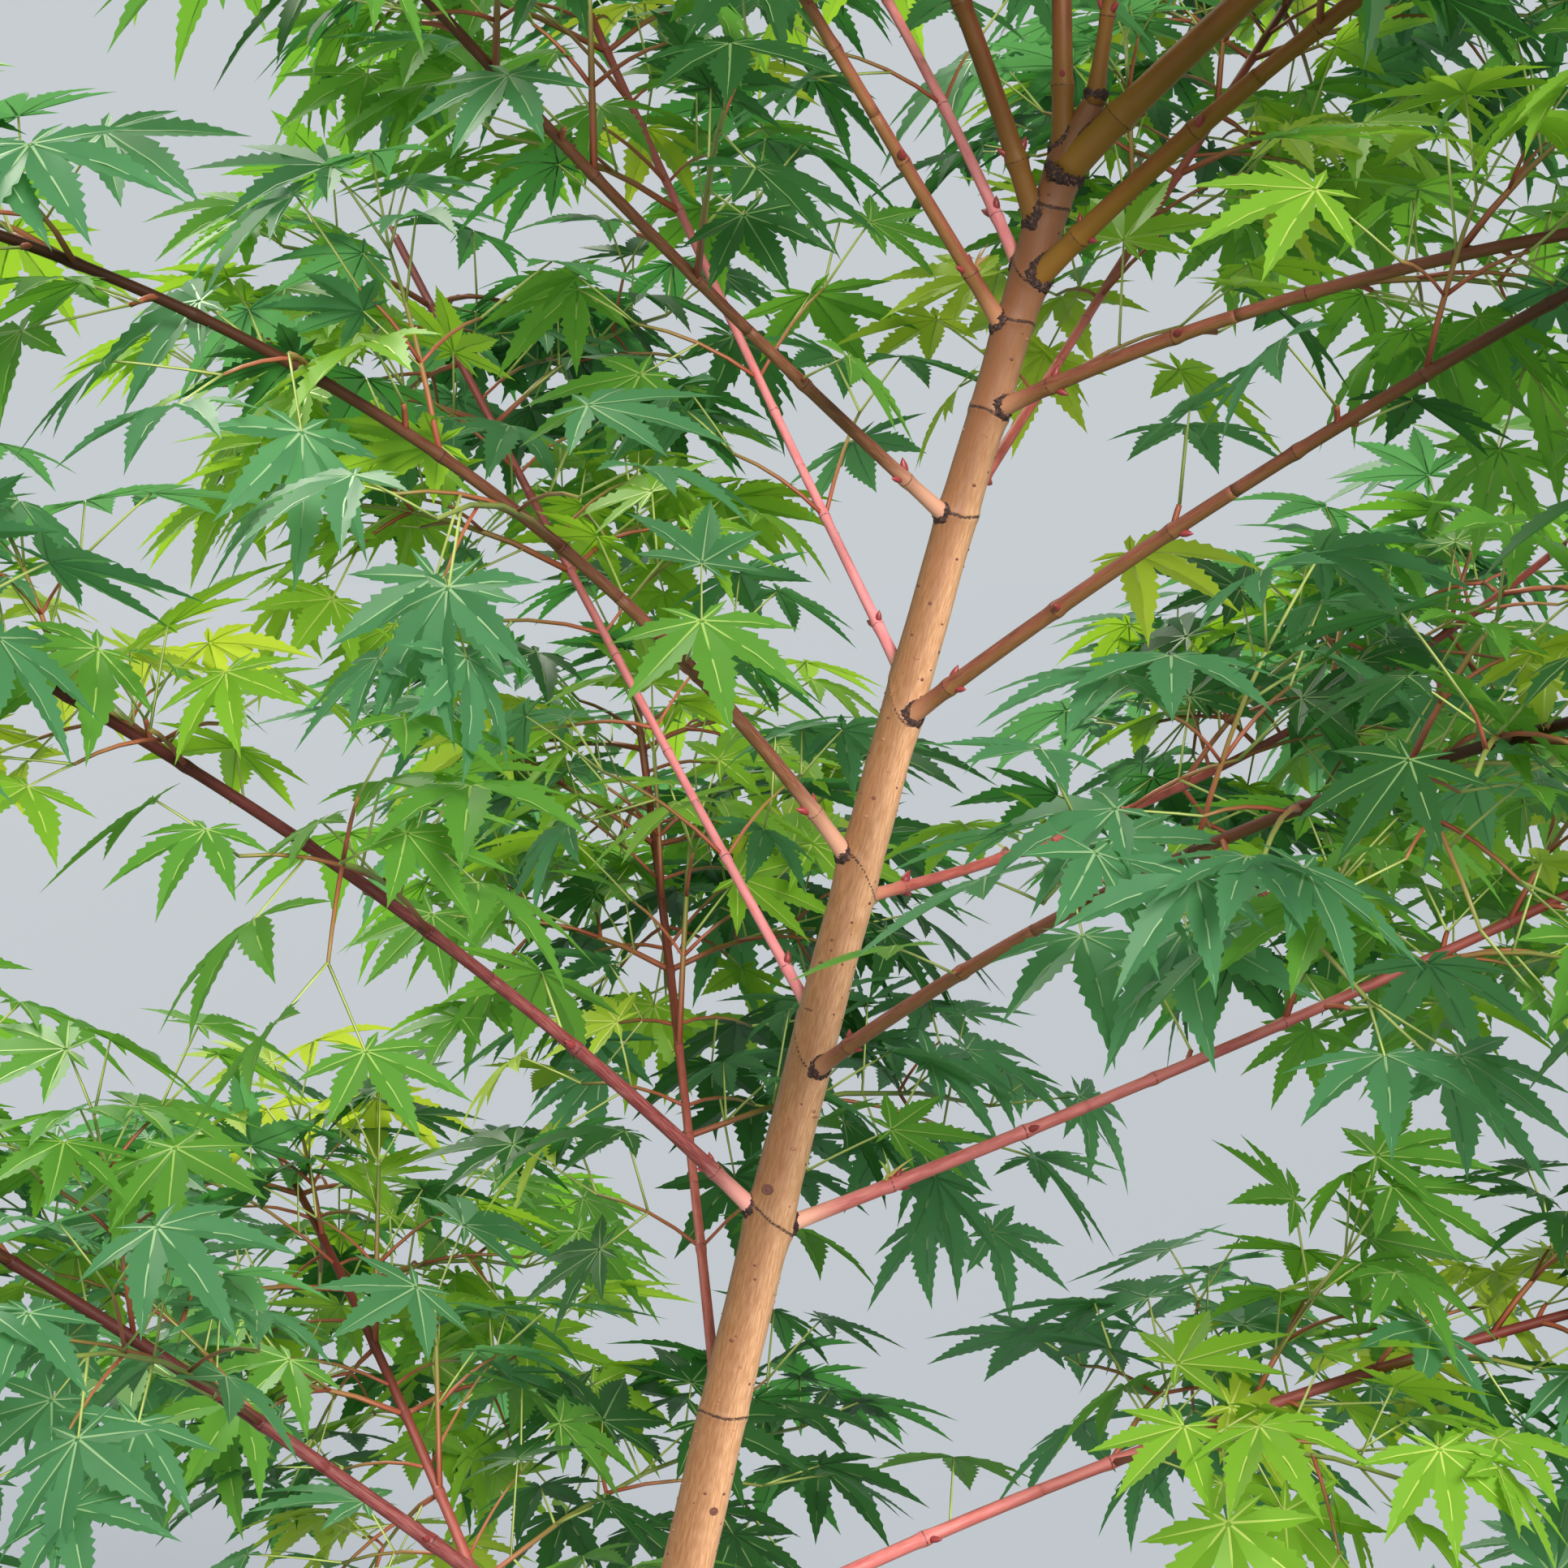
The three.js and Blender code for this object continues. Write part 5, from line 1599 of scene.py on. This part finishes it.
def clear_of_limbs(leaves):
    """True for each leaf with every point clear of the boughs and of the trunk."""
    away = distance_between(np.stack([leaves, leaves], axis=2)[:, :, None], limb_stretches[None, None])
    return (away > kept_radii + LIMB_CLEARANCE).all(axis=(1, 2))


def tested(test, leaves):
    """A test's answers for all leaves, some at a time to save memory."""
    starts = range(0, len(leaves), LEAVES_AT_ONCE)
    return np.concatenate([test(leaves[start:start + LEAVES_AT_ONCE]) for start in starts])


def kept_leaves():
    """True for each leaf that stays in the solids' box, clear of limbs, and apart from leaves before it. Most
    of those that would hide a bough from the front are left out."""
    low, high = (np.array(corner) / MM for corner in cad_box)
    points = blade_points(np.arange(count))
    kept = ((points > low) & (points < high)).all(axis=(1, 2))
    probes = points[:, ::PROBE_STEP]
    kept &= tested(clear_of_limbs, probes)
    kept &= ~(tested(hides_bough, probes) & (random.uniform(0, 1, count) < BARE_SHARE))
    close = np.linalg.norm(hearts[:, None] - hearts[None], axis=2) < HEART_SPACING
    for leaf in range(count):
        kept[leaf] &= not (close[leaf, :leaf] & kept[:leaf]).any()
    return kept


kept = kept_leaves()
high = np.interp(feet[:, 2], [CROWN_FROM, CROWN_TO], [0, 1])[:, None]
chances = np.cumsum((1 - high) * np.array(TINT_SHARES_LOW) + high * np.array(TINT_SHARES_HIGH), axis=1)
sprays = np.array([twig.spray for twig in twigs])[leaf_twigs]
dealt = np.random.default_rng(TINT_SEED).uniform(0, 1, len(twigs))[sprays]
tints = np.minimum((dealt[:, None] > chances).sum(axis=1), len(TINTS) - 1)


def leaf_material(name, colour, glow, share):
    """A thin leaf: one plain colour with a soft gloss, and a share of the light that falls on its other
    side."""
    material, tree, shader = new_material(name, 0.48, colour)
    shader.inputs["Specular IOR Level"].default_value = 0.35
    through = add_node(tree, "BsdfTranslucent", {"Color": (*glow, 1)})
    sides = {"Fac": share, 1: shader.outputs["BSDF"], 2: through.outputs["BSDF"]}
    mixed = add_node(tree, "MixShader", sides)
    tree.links.new(mixed.outputs["Shader"], tree.nodes["Material Output"].inputs["Surface"])
    return material


for number, (name, tint) in enumerate(TINTS.items()):
    chosen = np.flatnonzero(kept & (tints == number))
    points = blade_points(chosen)
    materials = [leaf_material("leaf_" + name, tint["blade"], tint["glow"], LEAF_GLOW_SHARE),
                 leaf_material("rib_" + name, tint["rib"], tint["rib"], RIB_GLOW_SHARE)]
    leaf_faces = [repeated(faces, points.shape[1], len(chosen)) for faces, _ in blade_sets]
    kinds = np.concatenate([np.tile(kinds, len(chosen)) for _, kinds in blade_sets])
    new_piece("leaves_" + name, points.reshape(-1, 3), leaf_faces, materials, kinds=kinds,
              replaced=foliage_nodes)


def tubes(paths, radii, sides):
    """Round tubes along many paths of as many points each, closed by a point at each end."""
    count, steps = paths.shape[:2]
    side, over = section_axes(unit(np.gradient(paths, axis=1)))
    out = outward(turns_round(sides), side[:, :, None], over[:, :, None])
    rings = paths[:, :, None] + radii[:, :, None, None] * out
    points = np.concatenate([rings.reshape(count, -1, 3), paths[:, :1], paths[:, -1:]], axis=1)
    faces = [repeated(each, points.shape[1], count) for each in skin_faces(steps, sides)[0]]
    return points.reshape(-1, 3), faces


# A stalk follows a curve of the second order from its foot to the leaf's heart, drawn towards a bend between.
shares = np.linspace(0, 1, STALK_STEPS)[:, None]
start, end = feet[kept, None], hearts[kept, None]
bend = feet[kept] + 0.5 * stalk_lengths[kept, None] * (ways[kept] * STALK_BEND + rises[kept])
paths = (1 - shares) ** 2 * start + 2 * shares * (1 - shares) * bend[:, None] + shares ** 2 * end
radii = np.tile(np.interp(shares[:, 0], [0, 1], STALK_RADII), (len(paths), 1))
points, stalk_faces = tubes(paths, radii, STALK_SIDES)
new_piece("leaf_stalks", points, stalk_faces, [new_material("leaf_stalk", 0.5, STALK_GREEN)[0]],
          replaced=foliage_nodes)

# Twigs
# Thin red shoots, green beyond their first part. Each ends at its last leaf or side twig, and one at a joint
# that bears nothing is a bud instead.
TWIG_STEPS = 5
TWIG_SIDES = 4
TWIG_RADII = {"shoot": (1.25, 0.75), "side": (0.8, 0.6), "spur": (1.1, 0.9)}
TWIG_RED_LENGTH = 70
TWIG_RED = (0.36, 0.085, 0.045)
TWIG_GREEN = (0.22, 0.27, 0.06)

borne = np.zeros(len(twigs))
np.maximum.at(borne, leaf_twigs[kept], leaf_shares[kept])
for number, twig in enumerate(twigs):
    if borne[number] and twig.spray != number:
        borne[twig.spray] = max(borne[twig.spray], twig.place)
bud_places += [(twigs[number].foot, twigs[number].way, radius)
               for number, radius in joint_twigs if not borne[number]]

shares = np.linspace(0, 1, TWIG_STEPS)
bearing = [(twig, reach) for twig, reach in zip(twigs, borne) if reach]
paths = np.stack([twig.point_at(shares * reach) for twig, reach in bearing])
radii = np.stack([np.interp(shares * reach, [0, 1], TWIG_RADII[twig.kind]) for twig, reach in bearing])
points, twig_faces = tubes(paths, radii, TWIG_SIDES)
lengths = np.repeat([twig.length * reach for twig, reach in bearing], TWIG_SIDES * TWIG_STEPS + 2)
along = np.tile(np.append(np.repeat(shares, TWIG_SIDES), [0, 1]), len(bearing)) * lengths


def twig_material():
    """Thin bark that turns from red to green over the first part of a shoot."""
    material, tree, shader = new_material("twig_bark", 0.5)
    green = ranged(tree, mark_value(tree, "arc"), 0, TWIG_RED_LENGTH)
    painted(tree, shader, blended(tree, green, TWIG_RED, TWIG_GREEN))
    return material


new_piece("twigs", points, twig_faces, [twig_material()], marks={"arc": along},
          replaced=foliage_nodes)

# Buds
# Small dark red buds sit in pairs at the joints that have no shoot. Each is a pointed egg of tight scales,
# and leans out from the bough's skin.
BUD_LENGTH = 4.2
BUD_RADIUS = 1.25
BUD_SIZES = (0.8, 1.25)
BUD_SIDES = 8
BUD_SHARES = (0, 0.2, 0.5, 0.8, 1)
BUD_WIDTHS = (0.85, 1, 0.85, 0.42, 0.06)
BUD_RED = (0.30, 0.038, 0.045)

feet = np.stack([foot + radius * way for foot, way, radius in bud_places])
ways = np.stack([way for _, way, _ in bud_places])
scale = random.uniform(*BUD_SIZES, len(feet))
paths = feet[:, None] + (np.array(BUD_SHARES)[:, None] * BUD_LENGTH) * ways[:, None] * scale[:, None, None]
points, bud_faces = tubes(paths, BUD_RADIUS * scale[:, None] * np.array(BUD_WIDTHS), BUD_SIDES)
new_piece("buds", points, bud_faces, [new_material("bud_scales", 0.4, BUD_RED)[0]])

# Sprouts
# One joint on the right has just sprouted two folded young leaves, and one on the left keeps two dry ones.
# They are small narrow blades of the leaves' shape that stand on the upper side of the bough.
SPROUT_BREADTH = 0.62
SPROUT_TILT = 20
SPROUT_FOOT = 0.9
SPROUT_ROUGHNESS = 0.5
SPROUT_COLOURS = {
    "young_leaf": (0.34, 0.48, 0.08),
    "young_pale_leaf": (0.68, 0.62, 0.20),
    "dry_leaf": (0.52, 0.31, 0.13),
}

# Each sprout: its bough, its rise above level, its compass heading, its length and its colour's number
SPROUTS = [
    ("05_right", 84, 180, 11, 0),
    ("05_right", 42, -15, 12, 1),
    ("11_left", 66, -10, 10, 2),
    ("11_left", 15, 235, 7, 2),
]

points = []
for number, (name, rise, heading, length, _) in enumerate(SPROUTS):
    bough = next(bough for bough in boughs if bough["name"] == name)
    arc = joint_arcs(bough)[0]
    over = section_axes(bough["line"].direction_at(arc))[1]
    foot = bough["line"].point_at(arc) + SPROUT_FOOT * bough_radius(bough, arc) * over
    shape = blades[number] * length * np.array([1, SPROUT_BREADTH, 1])
    points.append(foot + shape @ np.stack(blade_axes(direction_of(rise, heading), SPROUT_TILT)))
sprout_faces = [repeated(faces, blades.shape[1], len(SPROUTS)) for faces, _ in blade_sets]
kinds = np.concatenate([np.repeat([row[-1] for row in SPROUTS], len(faces)) for faces, _ in blade_sets])
new_piece("sprouts", np.concatenate(points), sprout_faces,
          [new_material(name, SPROUT_ROUGHNESS, colour)[0] for name, colour in SPROUT_COLOURS.items()],
          kinds=kinds)

size = {"cad": [list(corner) for corner in cad_box], "visual": [list(corner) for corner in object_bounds()]}
